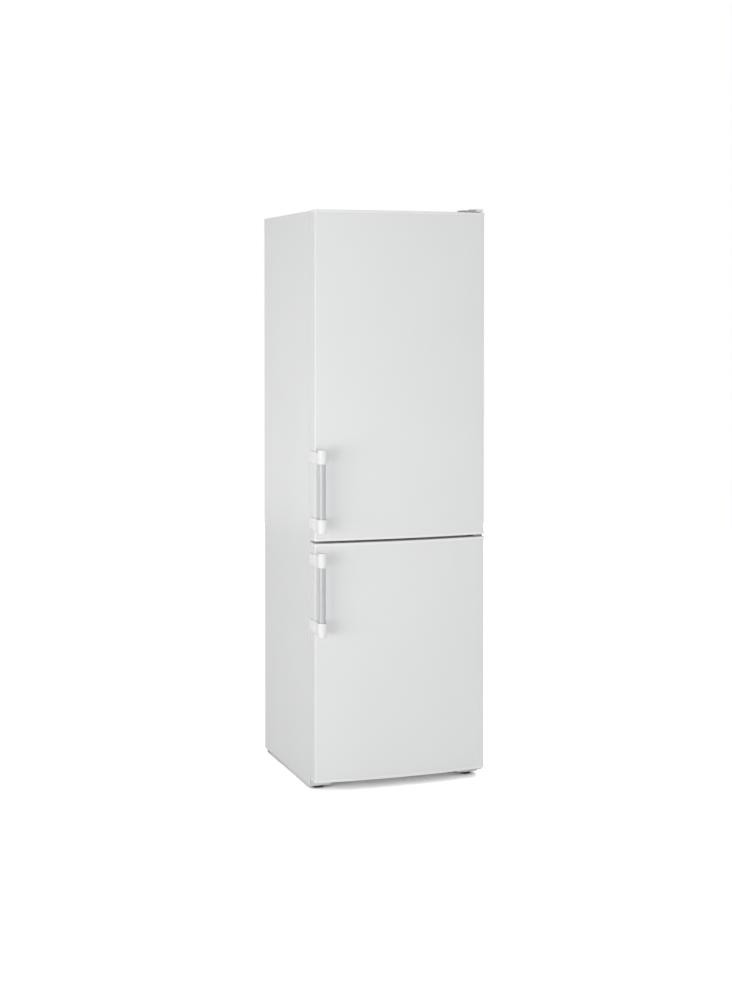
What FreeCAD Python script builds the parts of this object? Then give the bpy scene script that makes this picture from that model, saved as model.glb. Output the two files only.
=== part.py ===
"""A free-standing fridge freezer, about 1.9 m tall and 0.6 m wide, as a parametric document in millimetres.

X points to the right seen from the front, the doors face -Y and Z points up. The origin is on the floor,
in the middle of the plan of the whole object. A tall fridge door stands over a shorter freezer door. Both
hang on pins at the right and carry a pull handle at the left, whose levers push the door off its seal.
"""

import FreeCAD, Part
import math
import os
import re

import Sketcher

doc = FreeCAD.newDocument("FridgeFreezer")

# Driving dimensions, all lengths in millimetres.
SIZES = {
    # Cabinet: steel wrapper, walls and the room for the compressor
    "cabinet_width": 600,
    "cabinet_depth": 544,
    "cabinet_top": 1912,
    "cabinet_bottom": 12,
    "sheet_thickness": 0.8,
    "liner_thickness": 1.5,
    "flange_width": 26,
    "divider_rail_height": 52,
    "side_wall": 53,
    "back_wall": 48,
    "foam_bottom": 45,
    "freezer_floor_wall": 45,
    "divider_wall_under": 26,
    "divider_wall_over": 36,
    "top_wall": 50,
    "machine_depth": 215,
    "machine_top": 250,
    "step_wall": 50,
    "rear_standoff": 28,
    "tray_floor": 28,
    # Base: rail, feet and rollers
    "rail_thickness": 1.2,
    "lug_width": 72,
    "lug_rise": 22,
    "foot_shelf_depth": 60,
    "foot_shelf_thickness": 2.5,
    "foot_side_inset": 36,
    "foot_front_inset": 26,
    "foot_radius": 20,
    "foot_height": 10,
    "foot_spindle_radius": 5,
    "foot_spindle_top": 40,
    "foot_nut_radius": 9,
    "foot_nut_height": 8,
    "running_fit": 0.1,
    "roller_radius": 12,
    "roller_width": 14,
    "roller_side_inset": 12,
    "roller_back_inset": 26,
    "axle_radius": 3,
    "fork_thickness": 2,
    "fork_gap": 1,
    "fork_depth": 26,
    "fork_bottom": 7,
    # Doors
    "door_depth": 50,
    "door_gap": 8,
    "bow_height": 17.4,
    "corner_radius": 7,
    "skin_thickness": 0.7,
    "cap_height": 9,
    "cap_ear": 4,
    "cap_ear_start": 8,
    "cap_ear_length": 32,
    "freezer_door_bottom": 33,
    "freezer_door_top": 820,
    "door_split": 8,
    "door_over_cabinet": 1.5,
    "gasket_width": 14,
    "gasket_side_inset": 10,
    "gasket_end_inset": 8,
    "gasket_clearance": 0.3,
    "dyke_side_gap": 12,
    "dyke_width": 12,
    "fridge_dyke_depth": 36,
    "freezer_dyke_depth": 14,
    "dyke_end_inset": 60,
    # Hinges
    "hinge_side_inset": 14,
    "hinge_front_inset": 22,
    "pin_radius": 4,
    "pin_engagement": 18,
    "bush_radius": 8,
    "bush_depth": 12,
    "hinge_plate_thickness": 3,
    "hinge_plate_left": 22,
    "hinge_plate_right": 12,
    "hinge_nose": 10,
    "hinge_leg_thickness": 2.5,
    "hinge_leg_half": 11,
    "bottom_plate_gap": 3.5,
    "bottom_leg_low": 13,
    "bottom_leg_high": 40,
    "bottom_rivet": 2.5,
    "top_plate_left": 58,
    "top_plate_right": 4,
    "top_plate_start": 4,
    "top_plate_depth": 60,
    "top_plate_lift": 5,
    "cover_left": 13,
    "cover_right": 13,
    "cover_front": 14,
    "cover_back": 22,
    "cover_height": 12.5,
    "cover_round": 3,
    "screw_head_radius": 4,
    "screw_head_height": 1.7,
    "screw_spread": 11,
    # Handles
    "handle_reach": 60,
    "bar_inset": 11,
    "bar_forward": 45,
    "bar_radius": 13,
    "bar_length": 180,
    "knuckle_radius": 15,
    "knuckle_height": 47,
    "arm_height": 38,
    "lug_height": 12,
    "slot_clearance": 0.5,
    "pivot_inset": 3.5,
    "pivot_forward": 11.5,
    "pivot_boss_radius": 6,
    "pivot_pin_radius": 2.5,
    "pivot_pin_cover": 2,
    "slot_reach": 8,
    "base_side_thickness": 4,
    "base_front_thickness": 5,
    "base_front_width": 20,
    "base_back_inset": 8,
    "base_skin": 1.3,
    "plate_thickness": 2,
    "plate_height": 30,
    "plate_clearance": 0.3,
    "plate_front_inset": 8,
    "toe_reach": 9,
    "toe_thickness": 3.4,
    "toe_gap": 0.6,
    "fridge_handle_rise": 167,
    "freezer_handle_drop": 162,
    # Inside the fridge
    "shelf_side_gap": 1.5,
    "shelf_thickness": 4,
    "shelf_front_inset": 108,
    "shelf_back_gap": 8,
    "trim_depth": 14,
    "trim_height": 16,
    "shelf_rib": 7,
    "shelf_rib_height": 6,
    "upper_shelf_drop": 222,
    "crisper_shelf_rise": 215,
    "panel_half_width": 110,
    "panel_front_inset": 40,
    "panel_depth": 170,
    "panel_height": 28,
    "button_radius": 6,
    "button_length": 6,
    "button_proud": 2,
    "button_pitch": 40,
    "button_bore_clearance": 0.2,
    "lamp_half_width": 50,
    "lamp_depth": 70,
    "lamp_start": 80,
    "lamp_height": 8,
    # Drawers, crispers and door racks
    "tub_wall": 2.5,
    "tub_left_gap": 9,
    "tub_right_gap": 15,
    "crisper_front_inset": 116,
    "crisper_back_gap": 14,
    "crisper_gap": 4,
    "crisper_headroom": 24,
    "crisper_lift": 0.3,
    "drawer_front_inset": 62,
    "drawer_back_gap": 12,
    "drawer_lift": 0.3,
    "drawer_front_thickness": 4,
    "drawer_grip_height": 26,
    "drawer_grip_depth": 14,
    "drawer_grip_thickness": 3,
    "glass_lift": 0.5,
    "glass_gap": 10,
    "rack_side_gap": 2,
    "rack_reach": 92,
    "rack_wall": 2.5,
    "rack_gap": 0.5,
    "bottle_rack_rise": 74,
    "upper_rack_drop": 328.5,
    "bottle_rack_height": 110,
    "rack_height": 80,
    # Cooling machine
    "compressor_radius": 78,
    "compressor_low": 86,
    "compressor_barrel": 74,
    "compressor_dome": 40,
    "mount_plate_length": 220,
    "mount_plate_width": 130,
    "mount_plate_thickness": 3,
    "grommet_radius": 12,
    "grommet_height": 16,
    "grommet_inset": 16,
    "relay_size": 46,
    "relay_low": 90,
    "drip_tray_length": 190,
    "drip_tray_width": 150,
    "drip_tray_height": 24,
    "drip_tray_wall": 2,
    "coil_side_inset": 75,
    "coil_pitch": 60,
    "coil_lift": 70,
    "coil_tube_radius": 2.4,
    "coil_wire_radius": 0.8,
    "coil_wire_bite": 0.3,
    "coil_wire_margin": 22,
    "coil_wire_pitch": 25,
    "spacer_width": 14,
    "spacer_height": 22,
    "drier_radius": 9,
    "drier_length": 80,
    "drier_cone": 14,
    "drier_side_inset": 25,
    "drier_back_inset": 24,
    "drier_bottom": 110,
    "pipe_radius": 3,
    "capillary_radius": 1.2,
    "pipe_bend": 18,
    "feed_pipe_inset": 50,
    "pipe_low": 120,
    "capillary_low": 80,
    "capillary_inset": 100,
    "suction_run": 35,
    "gland_radius": 11,
    "gland_length": 14,
    "gland_flange_radius": 15,
    "gland_flange_thickness": 3,
    "gland_bore_radius": 4.5,
    "gland_side_inset": 95,
    "gland_height": 90,
    "gland_post_width": 40,
    "gland_post_thickness": 2,
}

# Counts, which have no unit.
COIL_ROWS = 18
SHELVES = ("upper_shelf", "middle_shelf", "lower_shelf")
GLASSES = ("lower_glass", "upper_glass")
BUTTONS = {"power": -1, "colder": 0, "fast_cool": 1}
SIDES = {"left": -1, "right": 1}

# Places worked out from the sizes, as expressions over them.
PLACES = {
    "half_width": "cabinet_width/2",
    "half_inside": "half_width-sheet_thickness",
    "total_depth": "handle_reach+door_depth+door_gap+cabinet_depth+rear_standoff",
    "corner_y": "handle_reach-total_depth/2",
    "door_back": "corner_y+door_depth",
    "cabinet_front": "door_back+door_gap",
    "cabinet_back": "cabinet_front+cabinet_depth",
    "rear_most": "cabinet_back+rear_standoff",
    "bow_radius": "(half_width^2+bow_height^2)/(2*bow_height)",
    "bow_centre": "corner_y-bow_height+bow_radius",
    "liner_front": "cabinet_front+sheet_thickness",
    "foam_front": "liner_front+liner_thickness",
    "cavity_half": "half_width-side_wall",
    "cavity_back": "cabinet_back-back_wall",
    "fridge_door_bottom": "freezer_door_top+door_split",
    "fridge_door_top": "cabinet_top+door_over_cabinet",
    "divider_middle": "freezer_door_top+door_split/2",
    "freezer_floor": "foam_bottom+freezer_floor_wall",
    "freezer_ceiling": "divider_middle-divider_wall_under",
    "fridge_floor": "divider_middle+divider_wall_over",
    "fridge_ceiling": "cabinet_top-top_wall",
    "machine_front": "cabinet_back-machine_depth",
    "step_front": "machine_front-step_wall",
    "step_top": "machine_top+step_wall",
    "rail_back": "cabinet_front+rail_thickness",
    "foot_x": "half_width-foot_side_inset",
    "foot_y": "cabinet_front+foot_front_inset",
    "roller_x": "half_width-roller_side_inset",
    "roller_y": "cabinet_back-roller_back_inset",
    "fork_half": "roller_width/2+fork_gap",
    "hinge_x": "half_width-hinge_side_inset",
    "hinge_y": "corner_y+hinge_front_inset",
    "top_plate_y": "cabinet_front+top_plate_start",
    "hinge_deck": "fridge_door_top+top_plate_lift",
    "bar_x": "bar_inset-half_width",
    "bar_y": "corner_y-bar_forward",
    "pivot_x": "pivot_inset-half_width",
    "pivot_y": "corner_y-pivot_forward",
    "fridge_handle_middle": "fridge_door_bottom+fridge_handle_rise",
    "freezer_handle_middle": "freezer_door_top-freezer_handle_drop",
    "dyke_half_span": "cavity_half-dyke_side_gap",
    "rack_half_width": "dyke_half_span-dyke_width-rack_side_gap",
    "shelf_half_width": "cavity_half-liner_thickness-shelf_side_gap",
    "tub_left": "cavity_half-tub_left_gap",
    "tub_right": "cavity_half-tub_right_gap",
    "upper_shelf": "fridge_ceiling-upper_shelf_drop",
    "crisper_shelf": "fridge_floor+crisper_shelf_rise",
    "lower_shelf": "crisper_shelf+(upper_shelf-crisper_shelf)*lower_shelf_share",
    "middle_shelf": "crisper_shelf+(upper_shelf-crisper_shelf)*middle_shelf_share",
    "crisper_height": "crisper_shelf_rise-crisper_headroom",
    "lower_glass": "step_top+liner_thickness+glass_lift",
    "upper_glass": "lower_glass+(freezer_ceiling-lower_glass)*upper_glass_share",
    "bottle_rack_bottom": "fridge_door_bottom+bottle_rack_rise",
    "upper_rack_bottom": "fridge_door_top-upper_rack_drop",
    "middle_rack_bottom": "(bottle_rack_bottom+upper_rack_bottom)/2",
    "compressor_x": "cabinet_width*compressor_side_share",
    "coil_half_width": "half_width-coil_side_inset",
    "coil_bottom": "machine_top+coil_lift",
    "drier_x": "half_width-drier_side_inset",
    "feed_pipe_x": "half_width-feed_pipe_inset",
    "capillary_x": "half_width-capillary_inset",
    "suction_x": "compressor_x+mount_plate_length/2+suction_run",
    "gland_x": "half_width-gland_side_inset",
    "shelf_front": "cabinet_front+shelf_front_inset",
    "shelf_back": "cavity_back-shelf_back_gap",
    "panel_front": "cabinet_front+panel_front_inset",
    "panel_top": "fridge_ceiling-liner_thickness",
    "panel_bottom": "panel_top-panel_height",
    "compressor_y": "machine_front+machine_depth*compressor_back_share",
    "compressor_top": "compressor_low+compressor_barrel+compressor_dome",
    "tray_top": "tray_floor+sheet_thickness",
    "plate_low": "tray_top+grommet_height",
    "coil_y": "rear_most-2*coil_wire_radius-coil_tube_radius+coil_wire_bite",
    "coil_top": "coil_bottom+(coil_rows-1)*coil_pitch",
    "drier_y": "cabinet_back-drier_back_inset",
    "drier_top": "drier_bottom+drier_length",
}

# Shares and counts that stand beside the lengths in the sheet, and don't grow with them.
SHARES = {
    "compressor_back_share": 0.47,
    "compressor_side_share": 0.1,
    "lower_shelf_share": 0.28,
    "middle_shelf_share": 0.63,
    "upper_glass_share": 0.49,
    "coil_rows": COIL_ROWS,
    "relay_share": 0.8,
    "suction_share": 0.86,
    "screw_share": 0.5,
    "arm_share": 0.94,
}

sheet = doc.addObject("Spreadsheet::Sheet", "Sizes")
for row, (alias, number) in enumerate({**SIZES, **SHARES}.items(), start=1):
    sheet.set(f"A{row}", alias.replace("_", " "))
    sheet.set(f"B{row}", str(number))
    sheet.setAlias(f"B{row}", alias)
doc.recompute()

WORD = re.compile(r"[A-Za-z_]+")
NODES = {}


def expand(text):
    """An expression over the sheet's cells, with every place replaced by the sizes it comes from."""

    def named(match):
        word = match.group(0)
        if word in PLACES:
            return "(" + expand(PLACES[word]) + ")"
        return "Sizes." + word if word in SIZES or word in SHARES else word

    return WORD.sub(named, str(text))


def value(text):
    """The number that an expression over sizes and places gives."""
    return float(sheet.evalExpression(expand(text)))


def bind(item, prop, text):
    """Drive a property of an object from the sheet."""
    item.setExpression(prop, expand(text))


def node(name, item):
    """Mark an object as a sub-part: its label is the name of its file."""
    item.Label = name
    NODES[name] = item
    return item


def place(item, x, y, z):
    """Bind the position of an object."""
    bind(item, "Placement.Base.x", x)
    bind(item, "Placement.Base.y", y)
    bind(item, "Placement.Base.z", z)


def box(name, x0, x1, y0, y1, z0, z1):
    """A box between two corners."""
    item = doc.addObject("Part::Box", name)
    bind(item, "Length", f"({x1})-({x0})")
    bind(item, "Width", f"({y1})-({y0})")
    bind(item, "Height", f"({z1})-({z0})")
    place(item, x0, y0, z0)
    return item


TURNS = {
    "x": FreeCAD.Rotation(FreeCAD.Vector(0, 1, 0), 90),
    "y": FreeCAD.Rotation(FreeCAD.Vector(1, 0, 0), -90),
    "z": FreeCAD.Rotation(),
}


def rod(name, axis, x, y, z, radius, length):
    """A cylinder that starts at a point and runs along an axis."""
    item = doc.addObject("Part::Cylinder", name)
    item.Placement = FreeCAD.Placement(FreeCAD.Vector(), TURNS[axis])
    bind(item, "Radius", radius)
    bind(item, "Height", length)
    place(item, x, y, z)
    return item


def fuse(name, items):
    """One solid from several that touch or overlap."""
    item = doc.addObject("Part::MultiFuse", name)
    item.Shapes = items
    item.Refine = True
    return item


def group(name, items):
    """Several solids of one sub-part that don't touch each other."""
    item = doc.addObject("Part::Compound", name)
    item.Links = items
    return item


def cut(name, base, *tools):
    """A solid with one or more others taken away."""
    item = doc.addObject("Part::Cut", name)
    item.Base = base
    item.Tool = tools[0] if len(tools) == 1 else fuse(name + "_tools", list(tools))
    item.Refine = True
    return item


def new_body(name):
    return doc.addObject("PartDesign::Body", name)


def new_sketch(body, name, role, offset):
    """A sketch on one of the body's own planes, moved along the plane's normal."""
    sketch = body.newObject("Sketcher::SketchObject", name)
    plane = next(f for f in body.Origin.OriginFeatures if f.Role == role)
    sketch.AttachmentSupport = (plane, [""])
    sketch.MapMode = "FlatFace"
    bind(sketch, "AttachmentOffset.Base.z", offset)
    return sketch


def hold(sketch, kind, *where, text):
    """A dimension of a sketch, driven from the sheet."""
    index = sketch.addConstraint(Sketcher.Constraint(kind, *where, value(text)))
    bind(sketch, f"Constraints[{index}]", text)


def draw_loop(sketch, points):
    """A closed outline of straight lines, every corner dimensioned from the origin."""
    first = sketch.GeometryCount
    corners = [FreeCAD.Vector(value(a), value(b), 0) for a, b in points]
    count = len(points)
    for i in range(count):
        sketch.addGeometry(Part.LineSegment(corners[i], corners[(i + 1) % count]))
    for i in range(count):
        after = first + (i + 1) % count
        sketch.addConstraint(Sketcher.Constraint("Coincident", first + i, 2, after, 1))
    for i, (a, b) in enumerate(points):
        hold(sketch, "DistanceX", -1, 1, first + i, 1, text=a)
        hold(sketch, "DistanceY", -1, 1, first + i, 1, text=b)


def pad(body, sketch, name, length):
    """Grow a solid from a sketch along its normal."""
    feature = body.newObject("PartDesign::Pad", name)
    feature.Profile = sketch
    bind(feature, "Length", length)
    return feature


def pad_loops(body, name, role, offset, length, *loops):
    """A pad of one or more straight-sided loops."""
    sketch = new_sketch(body, name + "_sketch", role, offset)
    for points in loops:
        draw_loop(sketch, points)
    return pad(body, sketch, name + "_pad", length)


def rectangle(a0, a1, b0, b1):
    return [(a0, b0), (a1, b0), (a1, b1), (a0, b1)]


def mirrored(points):
    """An outline that is the same left and right, from the points of its left half, in order."""
    return points + [(f"-({a})", b) for a, b in reversed(points)]


def door_prism(name, inset, back, low, high):
    """A slice of a door's full plan, drawn inset from its outer faces.

    The plan has two straight sides, a straight back and a bowed front. A round corner, tangent to both,
    joins each side to the bow.
    """
    body = new_body(name)
    sketch = new_sketch(body, name + "_sketch", "XY_Plane", low)
    half = f"half_width-({inset})"
    bow = f"bow_radius-({inset})"
    corner = f"corner_radius-({inset})"
    run = value(half) - value(corner)
    centre_y = value("bow_centre")
    corner_y = centre_y - math.sqrt((value(bow) - value(corner)) ** 2 - run**2)
    lean = math.atan2(centre_y - corner_y, run)
    up = FreeCAD.Vector(0, 0, 1)
    back_left = FreeCAD.Vector(-value(half), value(back), 0)
    back_right = FreeCAD.Vector(value(half), value(back), 0)
    side_left = FreeCAD.Vector(-value(half), corner_y, 0)
    side_right = FreeCAD.Vector(value(half), corner_y, 0)
    left_round = Part.Circle(FreeCAD.Vector(-run, corner_y, 0), up, value(corner))
    right_round = Part.Circle(FreeCAD.Vector(run, corner_y, 0), up, value(corner))
    front = Part.Circle(FreeCAD.Vector(0, centre_y, 0), up, value(bow))
    sketch.addGeometry(Part.LineSegment(back_left, side_left))
    sketch.addGeometry(Part.ArcOfCircle(left_round, math.pi, math.pi + lean))
    sketch.addGeometry(Part.ArcOfCircle(front, math.pi + lean, 2 * math.pi - lean))
    sketch.addGeometry(Part.ArcOfCircle(right_round, 2 * math.pi - lean, 2 * math.pi))
    sketch.addGeometry(Part.LineSegment(side_right, back_right))
    sketch.addGeometry(Part.LineSegment(back_right, back_left))
    for i in range(4):
        sketch.addConstraint(Sketcher.Constraint("Tangent", i, 2, i + 1, 1))
    sketch.addConstraint(Sketcher.Constraint("Coincident", 4, 2, 5, 1))
    sketch.addConstraint(Sketcher.Constraint("Coincident", 5, 2, 0, 1))
    sketch.addConstraint(Sketcher.Constraint("Vertical", 0))
    sketch.addConstraint(Sketcher.Constraint("Vertical", 4))
    sketch.addConstraint(Sketcher.Constraint("Horizontal", 5))
    sketch.addConstraint(Sketcher.Constraint("Equal", 1, 3))
    sketch.addConstraint(Sketcher.Constraint("PointOnObject", 2, 3, -2))
    hold(sketch, "Radius", 1, text=corner)
    hold(sketch, "Radius", 2, text=bow)
    hold(sketch, "DistanceY", -1, 1, 2, 3, text="bow_centre")
    hold(sketch, "DistanceX", -1, 1, 0, 1, text=f"-({half})")
    hold(sketch, "DistanceX", -1, 1, 4, 2, text=half)
    hold(sketch, "DistanceY", -1, 1, 5, 1, text=back)
    pad(body, sketch, name + "_pad", f"({high})-({low})")
    return body


def bent_tube(points, radius, bend):
    """A round tube along straight runs that are joined by tangent arcs."""
    corners = [FreeCAD.Vector(*[value(c) for c in point]) for point in points]
    edges = []
    last = corners[0]
    for before, here, after in zip(corners, corners[1:], corners[2:]):
        into = (here - before).normalize()
        out = (after - here).normalize()
        half_turn = into.getAngle(out) / 2
        setback = value(bend) * math.tan(half_turn)
        start = here - into * setback
        end = here + out * setback
        inward = (out - into).normalize()
        middle = here + inward * (value(bend) * (1 / math.cos(half_turn) - 1))
        edges.append(Part.LineSegment(last, start).toShape())
        edges.append(Part.Arc(start, middle, end).toShape())
        last = end
    edges.append(Part.LineSegment(last, corners[-1]).toShape())
    spine = Part.Wire(edges)
    ring = Part.Wire(Part.makeCircle(value(radius), corners[0], corners[1] - corners[0]))
    return spine.makePipeShell([ring], True, False)


def cabinet_wrapper():
    """The painted steel wrapper: two sides and a top folded from one sheet, with a return flange and a rail
    across the front that the door seals close on."""
    body = new_body("outer_shell_body")
    inner = "half_width-sheet_thickness"
    sides = mirrored([("-half_width", "cabinet_bottom"), ("-half_width", "cabinet_top")])
    hollow = mirrored([(f"-({inner})", "cabinet_bottom"), (f"-({inner})", "cabinet_top-sheet_thickness")])
    pad_loops(body, "wrapper", "XZ_Plane", "-(cabinet_back)", "cabinet_depth", sides + hollow[::-1])
    flange = "half_width-flange_width"
    outer = mirrored([("-half_width", "foam_bottom"), ("-half_width", "cabinet_top")])
    mouth = mirrored([(f"-({flange})", "foam_bottom"), (f"-({flange})", "cabinet_top-flange_width")])
    pad_loops(body, "flange", "XZ_Plane", "-(liner_front)", "sheet_thickness", outer + mouth[::-1])
    low = "divider_middle-divider_rail_height/2"
    high = "divider_middle+divider_rail_height/2"
    across = rectangle("-half_width", "half_width", low, high)
    pad_loops(body, "divider", "XZ_Plane", "-(liner_front)", "sheet_thickness", across)
    node("outer_shell", body)


def folded_sheets():
    """The rear panel, stepped forward over the machine room, and the base tray with its roller forks."""
    back = new_body("rear_panel_body")
    top = "cabinet_top-sheet_thickness"
    behind = "cabinet_back-sheet_thickness"
    wall = "machine_front+sheet_thickness"
    ceiling = "machine_top-sheet_thickness"
    profile = [
        ("cabinet_back", top),
        ("cabinet_back", ceiling),
        (wall, ceiling),
        (wall, "foam_bottom"),
        ("machine_front", "foam_bottom"),
        ("machine_front", "machine_top"),
        (behind, "machine_top"),
        (behind, top),
    ]
    pad_loops(back, "rear_panel", "YZ_Plane", "-(half_inside)", "2*half_inside", profile)
    node("rear_panel", back)
    tray = new_body("base_tray_body")
    riser = "machine_front-sheet_thickness"
    under = "foam_bottom-sheet_thickness"
    profile = [
        ("rail_back", "foam_bottom"),
        ("machine_front", "foam_bottom"),
        ("machine_front", "tray_top"),
        ("cabinet_back", "tray_top"),
        ("cabinet_back", "tray_floor"),
        (riser, "tray_floor"),
        (riser, under),
        ("rail_back", under),
    ]
    pad_loops(tray, "base_tray", "YZ_Plane", "-(half_inside)", "2*half_inside", profile)
    pieces = [tray]
    for side, way in SIDES.items():
        middle = f"{way}*roller_x"
        for cheek, out in SIDES.items():
            inner = f"{middle}+{out}*(fork_half+fork_thickness/2)"
            name = f"fork_{side}_{cheek}"
            low = f"{inner}-fork_thickness/2"
            high = f"{inner}+fork_thickness/2"
            front = "roller_y-fork_depth/2"
            rear = "roller_y+fork_depth/2"
            pieces.append(box(name, low, high, front, rear, "fork_bottom", "tray_floor"))
        start = f"{middle}-fork_half-fork_thickness"
        span = "2*(fork_half+fork_thickness)"
        pieces.append(rod(f"axle_{side}", "x", start, "roller_y", "roller_radius", "axle_radius", span))
    node("base_tray", fuse("base_tray_all", pieces))


def liner(name, low, high, ribs):
    """A plastic liner: a thin box open to the front, with a flange that lies behind the steel front."""
    flange_low = "foam_bottom" if name == "freezer" else "divider_middle"
    flange_high = "divider_middle" if name == "freezer" else "cabinet_top-sheet_thickness"
    flange = box(
        f"{name}_flange", "-half_inside", "half_inside", "liner_front", "foam_front", flange_low, flange_high
    )
    outer = cavity(f"{name}_outer", name, low, high, "0", "liner_front")
    inner = cavity(f"{name}_inner", name, low, high, "liner_thickness", "cabinet_front")
    shell = cut(f"{name}_shell", fuse(f"{name}_outside", [flange, outer]), inner)
    node(f"{name}_liner", fuse(f"{name}_liner_all", [shell] + ribs) if ribs else shell)
    return outer


def cavity(title, name, low, high, inset, front):
    """The room inside a liner, drawn smaller by an inset. The freezer's steps forward over the machine."""
    half = f"cavity_half-({inset})"
    floor = f"{low}+({inset})"
    ceiling = f"{high}-({inset})"
    back = f"cavity_back-({inset})"
    if name == "fridge":
        return box(title, f"-({half})", half, front, back, floor, ceiling)
    step = f"step_front-({inset})"
    ledge = f"step_top+({inset})"
    lower = box(title + "_lower", f"-({half})", half, front, step, floor, ceiling)
    upper = box(title + "_upper", f"-({half})", half, front, back, ledge, ceiling)
    return fuse(title, [lower, upper])


def insides():
    """Both liners and the foam that fills the walls round them."""
    ribs = []
    wall = "cavity_half-liner_thickness"
    for shelf in SHELVES + ("crisper_shelf",):
        for side, way in SIDES.items():
            inner, outer = f"{way}*({wall}-shelf_rib)", f"{way}*({wall})"
            low, high = (inner, outer) if way > 0 else (outer, inner)
            under = f"{shelf}-shelf_rib_height"
            ribs.append(
                box(
                    f"rib_{shelf}_{side}", low, high, "shelf_front", "cavity_back-liner_thickness", under,
                    shelf,
                )
            )
    fridge = liner("fridge", "fridge_floor", "fridge_ceiling", ribs)
    ledges = []
    for glass in GLASSES:
        for side, way in SIDES.items():
            inner, outer = f"{way}*({wall}-shelf_rib)", f"{way}*({wall})"
            low, high = (inner, outer) if way > 0 else (outer, inner)
            under = f"{glass}-shelf_rib_height"
            front = "cabinet_front+drawer_front_inset"
            back = "step_front" if glass == "lower_glass" else "cavity_back-liner_thickness"
            ledges.append(box(f"ledge_{glass}_{side}", low, high, front, back, under, glass))
    freezer = liner("freezer", "freezer_floor", "freezer_ceiling", ledges)
    block = box(
        "foam_block", "-half_inside", "half_inside", "foam_front", "cabinet_back-sheet_thickness",
        "foam_bottom", "cabinet_top-sheet_thickness",
    )
    room = box(
        "machine_room", "-half_width", "half_width", "machine_front", "cabinet_back", "0", "machine_top"
    )
    node("insulation_foam", cut("foam_cut", block, fridge, freezer, room))


def front_rail():
    """The white rail under the doors: a tall lug at each corner with a shelf and a nut for a foot."""
    body = new_body("front_rail_body")
    half = "half_inside"
    step = "half_inside-lug_width"
    left = [
        (f"-({half})", "foam_bottom"),
        (f"-({half})", "cabinet_bottom"),
        (f"-({step})", "cabinet_bottom"),
        (f"-({step}-lug_rise)", "cabinet_bottom+lug_rise"),
    ]
    pad_loops(body, "front_rail", "XZ_Plane", "-(rail_back)", "rail_thickness", mirrored(left))
    pieces = [body]
    holes = []
    for side, way in SIDES.items():
        inner, outer = f"{way}*({step})", f"{way}*({half})"
        low, high = (inner, outer) if way > 0 else (outer, inner)
        back = "cabinet_front+foot_shelf_depth"
        shelf_top = "cabinet_bottom+foot_shelf_thickness"
        pieces.append(box(f"foot_shelf_{side}", low, high, "rail_back", back, "cabinet_bottom", shelf_top))
        x = f"{way}*foot_x"
        pieces.append(
            rod(f"foot_nut_{side}", "z", x, "foot_y", shelf_top, "foot_nut_radius", "foot_nut_height")
        )
        bore = "foot_spindle_radius+running_fit"
        deep = "foot_shelf_thickness+foot_nut_height"
        holes.append(rod(f"foot_bore_{side}", "z", x, "foot_y", "cabinet_bottom", bore, deep))
    node("front_base_rail", cut("front_rail_cut", fuse("front_rail_all", pieces), *holes))


def feet_and_rollers():
    """Two black screw feet at the front and two rollers at the back."""
    for side, way in SIDES.items():
        x = f"{way}*foot_x"
        disc = rod(f"foot_disc_{side}", "z", x, "foot_y", "0", "foot_radius", "foot_height")
        rise = "foot_spindle_top-foot_height"
        spindle = rod(f"foot_spindle_{side}", "z", x, "foot_y", "foot_height", "foot_spindle_radius", rise)
        node(f"foot_{side}", fuse(f"foot_{side}_all", [disc, spindle]))
        start = f"{way}*roller_x-roller_width/2"
        tyre = rod(
            f"roller_tyre_{side}", "x", start, "roller_y", "roller_radius", "roller_radius", "roller_width"
        )
        bore_radius = "axle_radius+running_fit"
        bore = rod(
            f"roller_bore_{side}", "x", start, "roller_y", "roller_radius", bore_radius, "roller_width"
        )
        node(f"roller_{side}", cut(f"roller_{side}_cut", tyre, bore))


def compressor():
    """The hermetic compressor: a domed steel can on a plate, with its relay box, on four rubber grommets."""
    x, y = "compressor_x", "compressor_y"
    barrel = rod("barrel", "z", x, y, "compressor_low", "compressor_radius", "compressor_barrel")
    pieces = [barrel]
    for end, height in (("low", "compressor_low"), ("high", "compressor_low+compressor_barrel")):
        dome = doc.addObject("Part::Ellipsoid", f"dome_{end}")
        bind(dome, "Radius1", "compressor_dome")
        bind(dome, "Radius2", "compressor_radius")
        bind(dome, "Radius3", "compressor_radius")
        place(dome, x, y, height)
        pieces.append(dome)
    long, wide = "mount_plate_length/2", "mount_plate_width/2"
    top = "plate_low+mount_plate_thickness"
    pieces.append(
        box("mount_plate", f"{x}-{long}", f"{x}+{long}", f"{y}-{wide}", f"{y}+{wide}", "plate_low", top)
    )
    relay_front = f"{y}-relay_size/2"
    relay_left = f"{x}+compressor_radius-relay_size/4"
    relay_top = "relay_low+relay_size"
    pieces.append(
        box(
            "relay", relay_left, f"{relay_left}+relay_size*relay_share", relay_front,
            f"{relay_front}+relay_size", "relay_low", relay_top,
        )
    )
    node("compressor", fuse("compressor_all", pieces))
    grommets = []
    for side, way in SIDES.items():
        for end, out in (("front", -1), ("rear", 1)):
            gx = f"{x}+{way}*({long}-grommet_inset)"
            gy = f"{y}+{out}*({wide}-grommet_inset)"
            grommets.append(
                rod(f"grommet_{side}_{end}", "z", gx, gy, "tray_top", "grommet_radius", "grommet_height")
            )
    node("compressor_feet", group("grommets", grommets))
    half_long, half_wide = "drip_tray_length/2", "drip_tray_width/2"
    node(
        "evaporation_tray",
        tub(
            "drip_tray", f"{x}-{half_long}", f"{x}+{half_long}", f"{y}-{half_wide}", f"{y}+{half_wide}",
            "compressor_top", "compressor_top+drip_tray_height", "drip_tray_wall",
        ),
    )


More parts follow.
